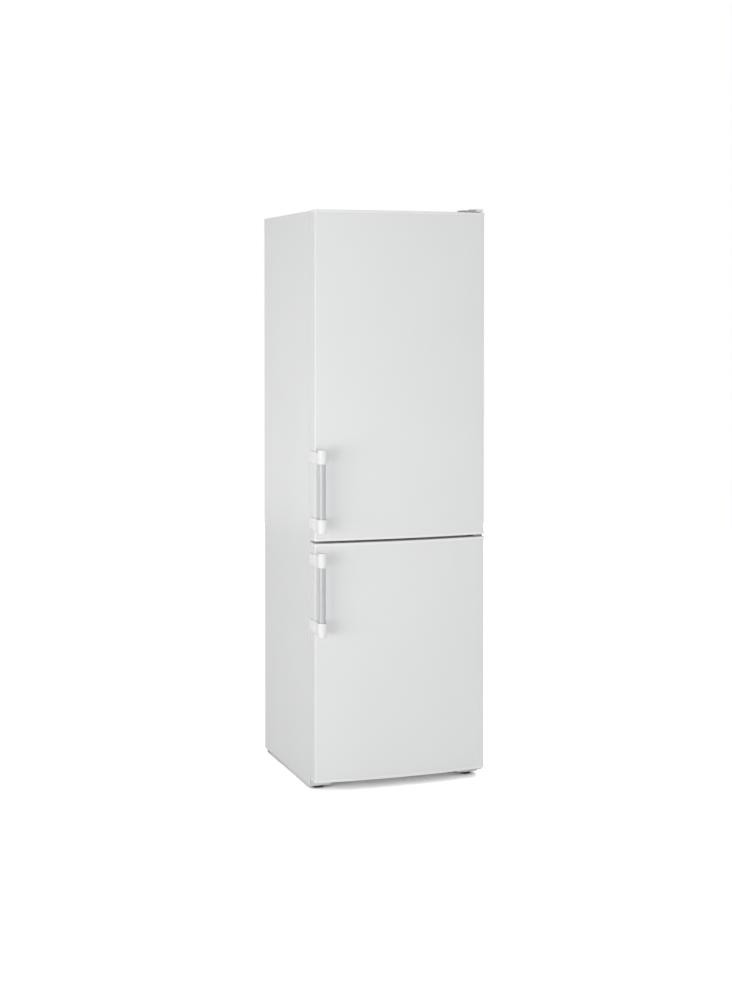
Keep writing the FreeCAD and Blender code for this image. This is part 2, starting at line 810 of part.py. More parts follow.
def tub(name, x0, x1, y0, y1, z0, z1, wall):
    """An open-topped box."""
    outside = box(name + "_outside", x0, x1, y0, y1, z0, z1)
    inside = box(
        name + "_inside", f"{x0}+{wall}", f"{x1}-{wall}", f"{y0}+{wall}", f"{y1}-{wall}", f"{z0}+{wall}", z1
    )
    return cut(name, outside, inside)


def condenser():
    """The wire-on-tube condenser behind the cabinet: one tube that turns back at each row, with upright
    wires welded to its rear, held off the rear panel by four spacers."""
    reach = value("coil_half_width")
    pitch = value("coil_pitch")
    y = value("coil_y")
    edges = []
    for row in range(COIL_ROWS):
        way = 1 if row % 2 == 0 else -1
        height = value("coil_bottom") + row * pitch
        start = FreeCAD.Vector(-way * reach, y, height)
        end = FreeCAD.Vector(way * reach, y, height)
        edges.append(Part.LineSegment(start, end).toShape())
        if row < COIL_ROWS - 1:
            turn = FreeCAD.Vector(way * (reach + pitch / 2), y, height + pitch / 2)
            above = FreeCAD.Vector(way * reach, y, height + pitch)
            edges.append(Part.Arc(end, turn, above).toShape())
    spine = Part.Wire(edges)
    origin = FreeCAD.Vector(-reach, y, value("coil_bottom"))
    ring = Part.Wire(Part.makeCircle(value("coil_tube_radius"), origin, FreeCAD.Vector(1, 0, 0)))
    tube = spine.makePipeShell([ring], True, False)
    wires = []
    low = value("coil_bottom-coil_wire_margin")
    tall = value("coil_top-coil_bottom+2*coil_wire_margin")
    wire_y = value("rear_most-coil_wire_radius")
    wire_x = -reach
    while wire_x <= reach:
        foot = FreeCAD.Vector(wire_x, wire_y, low)
        wires.append(Part.makeCylinder(value("coil_wire_radius"), tall, foot, FreeCAD.Vector(0, 0, 1)))
        wire_x += value("coil_wire_pitch")
    coil = doc.addObject("Part::Feature", "condenser_coil_shape")
    coil.Shape = tube.fuse(wires)
    node("condenser_coil", coil)
    spacers = []
    for side, way in SIDES.items():
        for end, row in (("low", 1), ("high", COIL_ROWS - 2)):
            x = f"{way}*(coil_half_width-coil_wire_pitch/2)"
            height = f"coil_bottom+{row}*coil_pitch"
            spacers.append(
                box(
                    f"spacer_{side}_{end}", f"{x}-spacer_width/2", f"{x}+spacer_width/2", "cabinet_back",
                    "coil_y-coil_tube_radius", f"{height}-spacer_height/2", f"{height}+spacer_height/2",
                )
            )
    node("condenser_spacers", group("spacers", spacers))


def cooling_pipes():
    """Copper lines between compressor, condenser and filter drier, the capillary, and the mains gland."""
    left = "compressor_x-compressor_radius"
    discharge = [
        (left, "compressor_y", "pipe_low"),
        (f"{left}-2*pipe_bend", "compressor_y", "pipe_low"),
        (f"{left}-2*pipe_bend", "coil_y", "pipe_low"),
        ("-feed_pipe_x", "coil_y", "pipe_low"),
        ("-feed_pipe_x", "coil_y", "coil_bottom"),
        ("-coil_half_width", "coil_y", "coil_bottom"),
    ]
    to_drier = [
        ("-coil_half_width", "coil_y", "coil_top"),
        ("-drier_x", "coil_y", "coil_top"),
        ("-drier_x", "coil_y", "drier_top+2*pipe_bend"),
        ("-drier_x", "drier_y", "drier_top+2*pipe_bend"),
        ("-drier_x", "drier_y", "drier_top"),
    ]
    capillary = [
        ("-drier_x", "drier_y", "drier_bottom"),
        ("-drier_x", "drier_y", "capillary_low"),
        ("-capillary_x", "drier_y", "capillary_low"),
        ("-capillary_x", "drier_y", "machine_top-sheet_thickness"),
    ]
    suction = [
        ("compressor_x+compressor_radius*suction_share", "compressor_y-relay_size", "pipe_low"),
        ("suction_x", "compressor_y-relay_size", "pipe_low"),
        ("suction_x", "compressor_y-relay_size", "machine_top-sheet_thickness"),
    ]
    tubes = [
        bent_tube(discharge, "coil_tube_radius", "pipe_bend/2"),
        bent_tube(to_drier, "coil_tube_radius", "pipe_bend/2"),
        bent_tube(capillary, "capillary_radius", "pipe_bend/2"),
        bent_tube(suction, "pipe_radius", "pipe_bend/2"),
    ]
    pipes = doc.addObject("Part::Feature", "refrigerant_pipes_shape")
    pipes.Shape = Part.makeCompound(tubes)
    node("refrigerant_pipes", pipes)
    middle = "drier_length-2*drier_cone"
    can = rod("drier_can", "z", "-drier_x", "drier_y", "drier_bottom+drier_cone", "drier_radius", middle)
    ends = []
    for end, height, wide, narrow in (
        ("low", "drier_bottom", "coil_tube_radius", "drier_radius"),
        ("high", "drier_top-drier_cone", "drier_radius", "coil_tube_radius"),
    ):
        cone = doc.addObject("Part::Cone", f"drier_{end}")
        bind(cone, "Radius1", wide)
        bind(cone, "Radius2", narrow)
        bind(cone, "Height", "drier_cone")
        place(cone, "-drier_x", "drier_y", height)
        ends.append(cone)
    node("filter_drier", fuse("drier_all", [can] + ends))


def mains_gland():
    """The gland on a post of the base tray where the supply goes in."""
    post_left = "gland_x-gland_post_width/2"
    post_back = "cabinet_back-gland_flange_thickness"
    post = box(
        "gland_post", post_left, "gland_x+gland_post_width/2", f"{post_back}-gland_post_thickness", post_back,
        "tray_top", "gland_height+gland_flange_radius",
    )
    flange = rod(
        "gland_flange", "y", "gland_x", post_back, "gland_height", "gland_flange_radius",
        "gland_flange_thickness",
    )
    nose = rod("gland_nose", "y", "gland_x", "cabinet_back", "gland_height", "gland_radius", "gland_length")
    start = f"{post_back}-gland_post_thickness"
    deep = "gland_length+gland_flange_thickness+gland_post_thickness"
    bore = rod("gland_bore", "y", "gland_x", start, "gland_height", "gland_bore_radius", deep)
    node("mains_gland", cut("gland_cut", fuse("gland_all", [post, flange, nose]), bore))


def hinges():
    """Three steel hinge brackets with riveted pins, the cover of the top one, and the screws."""
    left, right = "hinge_x-hinge_plate_left", "hinge_x+hinge_plate_right"
    nose = "hinge_y-hinge_nose"
    plate_low = "divider_middle-hinge_plate_thickness/2"
    plate_high = "divider_middle+hinge_plate_thickness/2"
    leg_front = "cabinet_front-hinge_leg_thickness"
    leg_low = "divider_middle-hinge_leg_half"
    leg_high = "divider_middle+hinge_leg_half"
    middle = [
        box("middle_plate", left, right, nose, "cabinet_front", plate_low, plate_high),
        box("middle_leg", left, right, leg_front, "cabinet_front", leg_low, leg_high),
        rod(
            "middle_pin", "z", "hinge_x", "hinge_y", "freezer_door_top-pin_engagement", "pin_radius",
            "fridge_door_bottom-freezer_door_top+2*pin_engagement",
        ),
    ]
    node("middle_hinge_bracket", fuse("middle_hinge", middle))
    deck = "freezer_door_bottom-bottom_plate_gap"
    under = f"{deck}-hinge_plate_thickness"
    bottom = [
        box("bottom_plate", left, right, nose, "cabinet_front", under, deck),
        box("bottom_leg", left, right, leg_front, "cabinet_front", "bottom_leg_low", "bottom_leg_high"),
        rod(
            "bottom_pin", "z", "hinge_x", "hinge_y", f"{under}-bottom_rivet", "pin_radius",
            f"freezer_door_bottom+pin_engagement-({under}-bottom_rivet)",
        ),
    ]
    node("bottom_hinge_bracket", fuse("bottom_hinge", bottom))
    foot_left, foot_right = "hinge_x-top_plate_left", "hinge_x+top_plate_right"
    foot_back = "top_plate_y+top_plate_depth"
    foot_top = "cabinet_top+hinge_plate_thickness"
    deck_top = "hinge_deck+hinge_plate_thickness"
    riser_back = "top_plate_y+hinge_plate_thickness"
    top = [
        box("top_foot", foot_left, foot_right, "top_plate_y", foot_back, "cabinet_top", foot_top),
        box("top_riser", foot_left, foot_right, "top_plate_y", riser_back, "cabinet_top", deck_top),
        box("top_deck", foot_left, "hinge_x+hinge_nose", nose, riser_back, "hinge_deck", deck_top),
        rod(
            "top_pin", "z", "hinge_x", "hinge_y", "fridge_door_top-pin_engagement", "pin_radius",
            f"{deck_top}-(fridge_door_top-pin_engagement)",
        ),
    ]
    node("top_hinge_bracket", fuse("top_hinge", top))
    cover_low = "fridge_door_top+top_plate_lift/2"
    cover_high = "fridge_door_top+cover_height"
    block = box(
        "cover_block", "hinge_x-cover_left", "hinge_x+cover_right", "hinge_y-cover_front",
        "hinge_y+cover_back",
        cover_low, cover_high,
    )
    rounded = doc.addObject("Part::Fillet", "cover_rounded")
    rounded.Base = block
    doc.recompute()
    upright = [
        i for i, edge in enumerate(block.Shape.Edges, start=1)
        if abs(edge.tangentAt(edge.FirstParameter).z) > 1 / 2
    ]
    radius = value("cover_round")
    rounded.Edges = [(i, radius, radius) for i in upright]
    room = box(
        "cover_room", f"{left}-cover_left", "hinge_x+hinge_nose+running_fit", f"{nose}-running_fit",
        "hinge_y+cover_back", cover_low, f"{deck_top}+running_fit",
    )
    node("top_hinge_cover", cut("cover_cut", rounded, room))
    screws = []
    for spread in (-1, 0, 1):
        x = f"hinge_x-top_plate_left/2+{spread}*screw_spread*3/2"
        y = "top_plate_y+top_plate_depth*screw_share"
        screws.append(
            rod(f"top_screw_{spread + 1}", "z", x, y, foot_top, "screw_head_radius", "screw_head_height")
        )
    for name, height in (
        ("middle", "divider_middle+hinge_leg_half*screw_share"),
        ("bottom", "bottom_leg_low+screw_head_radius*3/2"),
    ):
        for side, way in SIDES.items():
            x = f"hinge_x-(hinge_plate_left-hinge_plate_right)/2+{way}*screw_spread"
            front = f"{leg_front}-screw_head_height"
            screws.append(
                rod(f"{name}_screw_{side}", "y", x, front, height, "screw_head_radius", "screw_head_height")
            )
    node("hinge_screws", group("screws", screws))


def fridge_fittings():
    """What is fixed inside the fridge: control panel, lamp, buttons, glass shelves with trims."""
    panel = box(
        "panel_block", "-panel_half_width", "panel_half_width", "panel_front", "panel_front+panel_depth",
        "panel_bottom", "panel_top",
    )
    bores = []
    height = "panel_bottom+panel_height/2"
    for name, way in BUTTONS.items():
        x = f"{way}*button_pitch"
        wide = "button_radius+button_bore_clearance"
        bores.append(rod(f"bore_{name}", "y", x, "panel_front", height, wide, "button_length"))
        start = "panel_front-button_proud"
        node(f"button_{name}", rod(f"key_{name}", "y", x, start, height, "button_radius", "button_length"))
    node("control_panel", cut("panel_cut", panel, *bores))
    lamp_front = "panel_front+lamp_start"
    node(
        "interior_light",
        box(
            "lamp", "-lamp_half_width", "lamp_half_width", lamp_front, f"{lamp_front}+lamp_depth",
            "panel_bottom-lamp_height", "panel_bottom",
        ),
    )
    plates = []
    trims = []
    trim_back = "shelf_front+trim_depth"
    for shelf in SHELVES:
        top = f"{shelf}+shelf_thickness"
        plates.append(
            box(
                f"glass_{shelf}", "-shelf_half_width", "shelf_half_width", trim_back, "shelf_back", shelf,
                top,
            )
        )
        low, high = f"{shelf}+shelf_thickness/2-trim_height/2", f"{shelf}+shelf_thickness/2+trim_height/2"
        inner = "cavity_half-liner_thickness-shelf_rib-shelf_thickness/4"
        trims.append(box(f"trim_{shelf}", f"-({inner})", inner, "shelf_front", trim_back, low, high))
    node("glass_shelves", group("shelf_glasses", plates))
    node("shelf_trims", group("trims", trims))
    node(
        "crisper_cover",
        box(
            "crisper_glass", "-shelf_half_width", "shelf_half_width", "shelf_front", "shelf_back",
            "crisper_shelf", "crisper_shelf+shelf_thickness",
        ),
    )
    glasses = []
    for glass in GLASSES:
        front = "cabinet_front+drawer_front_inset"
        top = f"{glass}+shelf_thickness"
        glasses.append(
            box(f"plate_{glass}", "-shelf_half_width", "shelf_half_width", front, "shelf_back", glass, top)
        )
    node("freezer_shelves", group("freezer_glasses", glasses))


def drawer(name, x0, x1, front, back, low, high):
    """A clear tub with a closed front that carries a grip along its top."""
    body = tub(name + "_tub", x0, x1, f"{front}+drawer_front_thickness", back, low, high, "tub_wall")
    face = box(name + "_face", x0, x1, front, f"{front}+drawer_front_thickness", low, high)
    grip_front = f"{front}-drawer_grip_depth"
    grip = box(name + "_grip", x0, x1, grip_front, front, f"{high}-drawer_grip_thickness", high)
    lip_low = f"{high}-drawer_grip_height"
    lip = box(name + "_lip", x0, x1, grip_front, f"{grip_front}+drawer_grip_thickness", lip_low, high)
    node(name, fuse(name + "_all", [body, face, grip, lip]))


def drawers():
    """Two crispers side by side in the fridge and three drawers in the freezer."""
    floor = "fridge_floor+liner_thickness+crisper_lift"
    front = "cabinet_front+crisper_front_inset+drawer_grip_depth"
    back = "cavity_back-liner_thickness-crisper_back_gap"
    middle = "(tub_right-tub_left)/2"
    top = f"{floor}+crisper_height"
    drawer("crisper_left", "-tub_left", f"{middle}-crisper_gap/2", front, back, floor, top)
    drawer("crisper_right", f"{middle}+crisper_gap/2", "tub_right", front, back, floor, top)
    face = "cabinet_front+drawer_front_inset+drawer_grip_depth"
    rear = "cavity_back-liner_thickness-drawer_back_gap"
    short = "step_front-liner_thickness-drawer_back_gap"
    above = "shelf_thickness+drawer_lift"
    base = "freezer_floor+liner_thickness+drawer_lift"
    drawer("freezer_drawer_bottom", "-tub_left", "tub_right", face, short, base, "lower_glass-glass_gap")
    drawer(
        "freezer_drawer_middle", "-tub_left", "tub_right", face, rear, f"lower_glass+{above}",
        "upper_glass-glass_gap",
    )
    ceiling = "freezer_ceiling-liner_thickness-glass_gap"
    drawer("freezer_drawer_top", "-tub_left", "tub_right", face, rear, f"upper_glass+{above}", ceiling)


def door(name, low, high, dyke_depth):
    """One door: bowed steel skin, foam, plastic inner panel, end caps with hinge bushes, and the seal."""
    skin_low, skin_high = f"{low}+cap_height", f"{high}-cap_height"
    outside = door_prism(f"{name}_outside", "0", "door_back", skin_low, skin_high)
    hollow = door_prism(f"{name}_hollow", "skin_thickness", "cabinet_front", skin_low, skin_high)
    node(f"{name}_skin", cut(f"{name}_skin_cut", outside, hollow))
    fill = door_prism(f"{name}_fill", "skin_thickness", "door_back-liner_thickness", skin_low, skin_high)
    caps, bushes, bores = [], [], []
    for end, start, bush_start, cap_low, cap_high in (
        ("low", low, f"{low}+cap_height", low, f"{low}+cap_height"),
        (
            "high", f"{high}-cap_height-bush_depth", f"{high}-cap_height-bush_depth", f"{high}-cap_height",
            high,
        ),
    ):
        cap = door_prism(f"{name}_cap_{end}", "0", "door_back", cap_low, cap_high)
        ear_front = "corner_y+cap_ear_start"
        ear = box(
            f"{name}_ear_{end}", "half_width-bush_radius", "half_width+cap_ear", ear_front,
            f"{ear_front}+cap_ear_length", cap_low, cap_high,
        )
        bush = rod(f"{name}_bush_{end}", "z", "hinge_x", "hinge_y", bush_start, "bush_radius", "bush_depth")
        bushes.append(bush)
        deep = "cap_height+bush_depth"
        bore = rod(f"{name}_bore_{end}", "z", "hinge_x", "hinge_y", start, "pin_radius+running_fit", deep)
        caps.append(cut(f"{name}_end_{end}", fuse(f"{name}_cap_all_{end}", [cap, ear, bush]), bore))
    node(f"{name}_end_caps", group(f"{name}_caps", caps))
    node(f"{name}_foam", cut(f"{name}_foam_cut", fill, *bushes))
    inside = "half_width-skin_thickness"
    panel = box(
        f"{name}_panel", f"-({inside})", inside, "door_back-liner_thickness", "door_back", skin_low,
        skin_high,
    )
    dyke_low, dyke_high = f"{low}+dyke_end_inset", f"{high}-dyke_end_inset"
    dyke_body = new_body(f"{name}_dyke")
    depth = f"door_gap+{dyke_depth}"
    outer = rectangle("-dyke_half_span", "dyke_half_span", dyke_low, dyke_high)
    span = "dyke_half_span-dyke_width"
    inner = rectangle(f"-({span})", span, f"{dyke_low}+dyke_width", f"{dyke_high}-dyke_width")
    pad_loops(dyke_body, f"{name}_dyke", "XZ_Plane", f"-(door_back+{depth})", depth, outer, inner)
    node(f"{name}_liner", group(f"{name}_liner_all", [panel, dyke_body]))
    seal = new_body(f"{name}_seal")
    reach = "half_width-gasket_side_inset"
    seal_low, seal_high = f"{low}+gasket_end_inset", f"{high}-gasket_end_inset"
    outer = rectangle(f"-({reach})", reach, seal_low, seal_high)
    inside = f"{reach}-gasket_width"
    inner = rectangle(f"-({inside})", inside, f"{seal_low}+gasket_width", f"{seal_high}-gasket_width")
    thick = "door_gap-gasket_clearance"
    pad_loops(seal, f"{name}_seal", "XZ_Plane", "-(cabinet_front-gasket_clearance)", thick, outer, inner)
    node(f"{name}_gasket", seal)


def handle(name, middle):
    """A pull handle: a bar between two levers, each on a pin in a base that wraps the door's front edge.

    The front of a base holds a lug, which stands in a slot of the lever. Its side is a cover over a
    pressure plate, whose toe reaches into the gap between door and cabinet.
    """
    bar_low = f"{middle}-bar_length/2"
    node(
        f"{name}_handle_bar", rod(f"{name}_bar", "z", "bar_x", "bar_y", bar_low, "bar_radius", "bar_length")
    )
    levers, bases, plates = [], [], []
    for end, way in (("low", -1), ("high", 1)):
        title = f"{name}_{end}"
        inner = f"{middle}+{way}*bar_length/2"
        arm_middle = f"{inner}+{way}*arm_height/2"
        arm_low = f"{arm_middle}-arm_height/2"
        knuckle_low = inner if way > 0 else f"{inner}-knuckle_height"
        knuckle = rod(
            f"{title}_knuckle", "z", "bar_x", "bar_y", knuckle_low, "knuckle_radius", "knuckle_height"
        )
        arm = new_body(f"{title}_arm")
        outline = [
            ("pivot_x-pivot_boss_radius*arm_share", "pivot_y"),
            ("bar_x-knuckle_radius*arm_share", "bar_y"),
            ("bar_x+knuckle_radius*arm_share", "bar_y"),
            ("pivot_x+pivot_boss_radius*arm_share", "pivot_y"),
        ]
        pad_loops(arm, f"{title}_arm", "XY_Plane", arm_low, "arm_height", outline)
        boss = rod(f"{title}_boss", "z", "pivot_x", "pivot_y", arm_low, "pivot_boss_radius", "arm_height")
        slot_half = "lug_height/2+slot_clearance"
        slot = box(
            f"{title}_slot", "pivot_x-2*pivot_boss_radius", "pivot_x+3*pivot_boss_radius",
            "pivot_y-slot_reach", "corner_y",
            f"{arm_middle}-({slot_half})", f"{arm_middle}+{slot_half}",
        )
        pin_length = "arm_height-2*pivot_pin_cover"
        pin_low = f"{arm_low}+pivot_pin_cover"
        hole = rod(
            f"{title}_hole", "z", "pivot_x", "pivot_y", pin_low, "pivot_pin_radius+running_fit", pin_length
        )
        solid = fuse(f"{title}_lever_all", [knuckle, arm, boss])
        levers.append(cut(f"{title}_lever", solid, slot, hole))
        side_out = "-half_width-base_side_thickness"
        base_front = "corner_y-base_front_thickness"
        wrap = box(
            f"{title}_wrap", side_out, "base_front_width-half_width", base_front, "door_back-base_back_inset",
            arm_low, f"{arm_low}+arm_height",
        )
        door_slice = door_prism(f"{title}_slice", "0", "door_back", arm_low, f"{arm_low}+arm_height")
        plate_out = f"{side_out}+base_skin"
        pocket = box(
            f"{title}_pocket", plate_out, "-half_width", "corner_y+plate_front_inset-2*plate_clearance",
            "door_back",
            f"{arm_middle}-plate_height/2-plate_clearance", f"{arm_middle}+plate_height/2+plate_clearance",
        )
        lug_low = f"{arm_middle}-lug_height/2"
        lug = rod(
            f"{title}_lug", "z", "pivot_x", "pivot_y", lug_low, "pivot_boss_radius-slot_clearance*2",
            "lug_height",
        )
        neck = box(
            f"{title}_neck", "pivot_x-pivot_boss_radius+2*slot_clearance",
            "pivot_x+pivot_boss_radius-2*slot_clearance",
            "pivot_y", base_front, lug_low, f"{lug_low}+lug_height",
        )
        pin_clear = f"{pin_low}+slot_clearance/2"
        pin = rod(
            f"{title}_pin", "z", "pivot_x", "pivot_y", pin_clear, "pivot_pin_radius",
            f"{pin_length}-slot_clearance",
        )
        shell = cut(f"{title}_base_cut", wrap, door_slice, pocket)
        bases.append(fuse(f"{title}_base", [shell, lug, neck, pin]))
        strip_left = f"{plate_out}+plate_clearance"
        strip_low, strip_high = f"{arm_middle}-plate_height/2", f"{arm_middle}+plate_height/2"
        toe_front = "door_back+toe_gap"
        toe_back = f"{toe_front}+toe_thickness"
        strip = box(
            f"{title}_strip", strip_left, f"{strip_left}+plate_thickness", "corner_y+plate_front_inset",
            toe_back, strip_low, strip_high,
        )
        toe = box(
            f"{title}_toe", strip_left, "toe_reach-half_width", toe_front, toe_back, strip_low, strip_high
        )
        plates.append(fuse(f"{title}_plate", [strip, toe]))
    node(f"{name}_handle_brackets", group(f"{name}_levers", levers))
    node(f"{name}_handle_bases", group(f"{name}_bases", bases))
    node(f"{name}_pressure_plates", group(f"{name}_plates", plates))


def racks():
    """Three clear racks between the dykes of the fridge door."""
    left, right = "-rack_half_width", "rack_half_width"
    front = "door_back+rack_gap"
    back = "cabinet_front+rack_reach"
    for name, low, tall in (
        ("bottle", "bottle_rack_bottom", "bottle_rack_height"),
        ("middle", "middle_rack_bottom", "rack_height"),
        ("upper", "upper_rack_bottom", "rack_height"),
    ):
        node(
            f"door_rack_{name}",
            tub(f"rack_{name}", left, right, front, back, low, f"{low}+{tall}", "rack_wall"),
        )


def check(items):
    """Stop if any object of the document failed, or any sub-part has no good solid."""
    for item in doc.Objects:
        if "Invalid" in item.State or "Error" in item.State:
            raise RuntimeError(f"{item.Name} failed to build: {item.State}")
    for name, item in items.items():
        shape = item.Shape
        if shape.isNull() or not shape.isValid() or not shape.Solids:
            raise RuntimeError(f"{name} is not a good solid")


cabinet_wrapper()
folded_sheets()
insides()
front_rail()
feet_and_rollers()
compressor()
condenser()
cooling_pipes()
mains_gland()
hinges()
fridge_fittings()
drawers()
door("fridge_door", "fridge_door_bottom", "fridge_door_top", "fridge_dyke_depth")
door("freezer_door", "freezer_door_bottom", "freezer_door_top", "freezer_dyke_depth")
handle("fridge_door", "fridge_handle_middle")
handle("freezer_door", "freezer_handle_middle")
racks()
doc.recompute()
check(NODES)

os.makedirs("parts", exist_ok=True)
for name, item in NODES.items():
    item.Shape.exportStep(f"parts/{name}.step")
    print(name, len(item.Shape.Solids), round(item.Shape.Volume))
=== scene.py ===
"""A white fridge freezer in a plain studio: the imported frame, dressed piece by piece."""

import math

import bpy
import numpy as np
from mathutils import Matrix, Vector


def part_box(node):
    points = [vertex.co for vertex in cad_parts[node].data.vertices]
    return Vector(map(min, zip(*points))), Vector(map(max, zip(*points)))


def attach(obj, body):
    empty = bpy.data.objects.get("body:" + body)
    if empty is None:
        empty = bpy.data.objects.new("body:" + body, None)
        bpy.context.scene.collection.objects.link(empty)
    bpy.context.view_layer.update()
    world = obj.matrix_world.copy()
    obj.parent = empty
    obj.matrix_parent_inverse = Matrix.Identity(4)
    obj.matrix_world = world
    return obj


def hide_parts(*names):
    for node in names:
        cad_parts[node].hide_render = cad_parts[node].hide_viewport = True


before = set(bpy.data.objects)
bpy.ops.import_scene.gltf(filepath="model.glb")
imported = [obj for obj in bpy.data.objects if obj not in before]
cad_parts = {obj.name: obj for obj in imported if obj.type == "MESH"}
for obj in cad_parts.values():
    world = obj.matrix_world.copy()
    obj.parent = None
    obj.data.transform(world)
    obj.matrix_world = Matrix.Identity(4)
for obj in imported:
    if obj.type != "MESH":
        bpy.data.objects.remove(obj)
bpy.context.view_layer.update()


# The cabinet wrapper: one steel sheet, powder painted white, folded over the top and both sides with
# small round folds, and turned in at the front as the flange that the door seals close on.


def finish(name, colour, roughness, metallic=0.0, **sockets):
    """A material with one Principled shader: base colour (linear), roughness and other values on its own
    sockets."""
    material = bpy.data.materials.new(name)
    material.use_nodes = True
    shader = material.node_tree.nodes["Principled BSDF"]
    shader.inputs["Base Color"].default_value = (*colour, 1.0)
    shader.inputs["Roughness"].default_value = roughness
    shader.inputs["Metallic"].default_value = metallic
    for socket, value in sockets.items():
        shader.inputs[socket.replace("_", " ")].default_value = value
    return material


def add_node(tree, kind, sockets=None, **settings):
    """A new node of a kind. Each socket, by name or number, takes a value or a link from another node."""
    made = tree.nodes.new(f"ShaderNode{kind}")
    for name, value in settings.items():
        setattr(made, name, value)
    for name, value in (sockets or {}).items():
        if isinstance(value, bpy.types.NodeSocket):
            tree.links.new(value, made.inputs[name])
        else:
            made.inputs[name].default_value = value
    return made


def join(material, output, socket):
    """Lead a node's output into a socket of the material's shader."""
    tree = material.node_tree
    tree.links.new(output, tree.nodes["Principled BSDF"].inputs[socket])


def noise(material, scale, detail=3.0, stretch=(1.0, 1.0, 1.0)):
    """Noise on the piece's own coordinates, in waves of about one over the scale in metres, that may be
    drawn out along an axis."""
    tree = material.node_tree
    place = add_node(tree, "TexCoord").outputs["Object"]
    drawn = add_node(tree, "Mapping", {"Scale": stretch, "Vector": place}).outputs["Vector"]
    return add_node(tree, "TexNoise", {"Scale": scale, "Detail": detail, "Vector": drawn}).outputs["Fac"]


def bump(material, height, depth):
    """Relief on the shader's normal: a height from 0 to 1 stands for the depth in metres."""
    relief = add_node(material.node_tree, "Bump", {"Distance": depth, "Strength": 1.0, "Height": height})
    join(material, relief.outputs["Normal"], "Normal")


def tint(material, mix, dark, light):
    """Base colour that wanders between a darker and a lighter tone as a factor runs from 0.3 to 0.7."""
    ramp = add_node(material.node_tree, "ValToRGB", {"Fac": mix})
    for k, position, colour in ((0, 0.3, dark), (1, 0.7, light)):
        ramp.color_ramp.elements[k].position = position
        ramp.color_ramp.elements[k].color = (*colour, 1.0)
    join(material, ramp.outputs["Color"], "Base Color")


def gloss(material, mix, low, high):
    """Roughness that wanders between two values."""
    span = add_node(material.node_tree, "MapRange", {"To Min": low, "To Max": high, "Value": mix})
    join(material, span.outputs["Result"], "Roughness")


def white_paint():
    """Powder paint: almost even white, with the fine ripple of orange peel under a satin gloss."""
    made = finish("white powder paint", (0.74, 0.745, 0.75), 0.32, Coat_Weight=0.25, Coat_Roughness=0.12)
    tint(made, noise(made, 3.0), (0.735, 0.74, 0.745), (0.75, 0.755, 0.76))
    gloss(made, noise(made, 9.0), 0.28, 0.36)
    bump(made, noise(made, 420.0, detail=2.0), 0.00002)
    return made


PAINT = white_paint()


def rounded_rectangle(x0, x1, y0, y1, radius, inset=0.0, steps=7):
    """A rectangle with quarter circles at its corners, counterclockwise. The inset draws the sides in and
    takes as much off the radius."""
    now = max(radius - inset, 1e-5)
    quarter = np.linspace(0, math.pi / 2, steps)
    rows = []
    for k, (right, up) in enumerate(((1, 1), (0, 1), (0, 0), (1, 0))):
        centre_x = x1 - inset - now if right else x0 + inset + now
        centre_y = y1 - inset - now if up else y0 + inset + now
        angle = quarter + k * math.pi / 2
        rows.append(np.stack([centre_x + now * np.cos(angle), centre_y + now * np.sin(angle)], -1))
    return np.concatenate(rows)


def skin_faces(rows, columns, loop_rows=False, fill=True):
    """Four-sided faces between neighbouring rings of a stack, numbered ring by ring. The last ring may
    join the first, and fill adds one face over each end."""
    i, j = np.meshgrid(np.arange(rows if loop_rows else rows - 1), np.arange(columns), indexing="ij")
    up, over = (i + 1) % rows, (j + 1) % columns
    quads = np.stack([i * columns + j, i * columns + over, up * columns + over, up * columns + j], -1)
    faces = quads.reshape(-1, 4).tolist()
    if fill and not loop_rows:
        faces.append(list(range(columns))[::-1])
        faces.append(list(range((rows - 1) * columns, rows * columns)))
    return faces


def stack(outlines, heights, axis="z", loop=False, fill=True):
    """Points and faces of a surface made of rings: each ring is a closed counterclockwise outline at its
    height along the axis, and both ends are filled. With loop, the last ring joins the first."""
    rings = np.stack([np.column_stack([line, np.full(len(line), h)]) for line, h in zip(outlines, heights)])
    faces = skin_faces(len(rings), rings.shape[1], loop, fill)
    order = {"z": (0, 1, 2), "y": (0, 2, 1), "x": (2, 0, 1)}[axis]
    if axis == "y":
        faces = [face[::-1] for face in faces]
    return rings.reshape(-1, 3)[:, order], faces


def rounded(outline, low, high, edge, axis="z", steps=4):
    """A solid of one outline between two ends whose edges are rounded: the outline is drawn in along a
    quarter circle, runs straight, and is drawn in along a quarter circle again."""
    turn = np.linspace(0, math.pi / 2, steps)
    insets = np.concatenate([edge * (1 - np.sin(turn)), edge * (1 - np.cos(turn))])
    heights = np.concatenate([low + edge * (1 - np.cos(turn)), high - edge + edge * np.sin(turn)])
    return stack([outline(inset) for inset in insets], heights, axis)


def soft_box(x0, x1, y0, y1, z0, z1, corner, edge, axis="z"):
    """A box whose four long edges along the axis are rounded by the corner radius, and the rest by edge."""
    x, y, z = (x0, x1), (y0, y1), (z0, z1)
    plan, ends = {"z": (x + y, z), "y": (x + z, y), "x": (y + z, x)}[axis]
    return rounded(lambda inset: rounded_rectangle(*plan, corner, inset), *ends, edge, axis)


def piece(name, shapes, material, body, slot, *stands_for, crease=35.0):
    """One object from a list of points and faces. It rides on a body and stands for CAD nodes."""
    points = np.concatenate([shape[0] for shape in shapes])
    starts = np.cumsum([0] + [len(shape[0]) for shape in shapes])
    faces = [[int(start) + k for k in face] for start, shape in zip(starts, shapes) for face in shape[1]]
    mesh = bpy.data.meshes.new(name)
    mesh.from_pydata(points.tolist(), [], faces)
    mesh.shade_smooth()
    mesh.set_sharp_from_angle(angle=math.radians(crease))
    mesh.materials.append(material)
    made = bpy.data.objects.new(name, mesh)
    bpy.context.scene.collection.objects.link(made)
    even = made.modifiers.new("even shading", "WEIGHTED_NORMAL")
    even.keep_sharp = True
    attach(made, body)
    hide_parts(*stands_for)
    return made


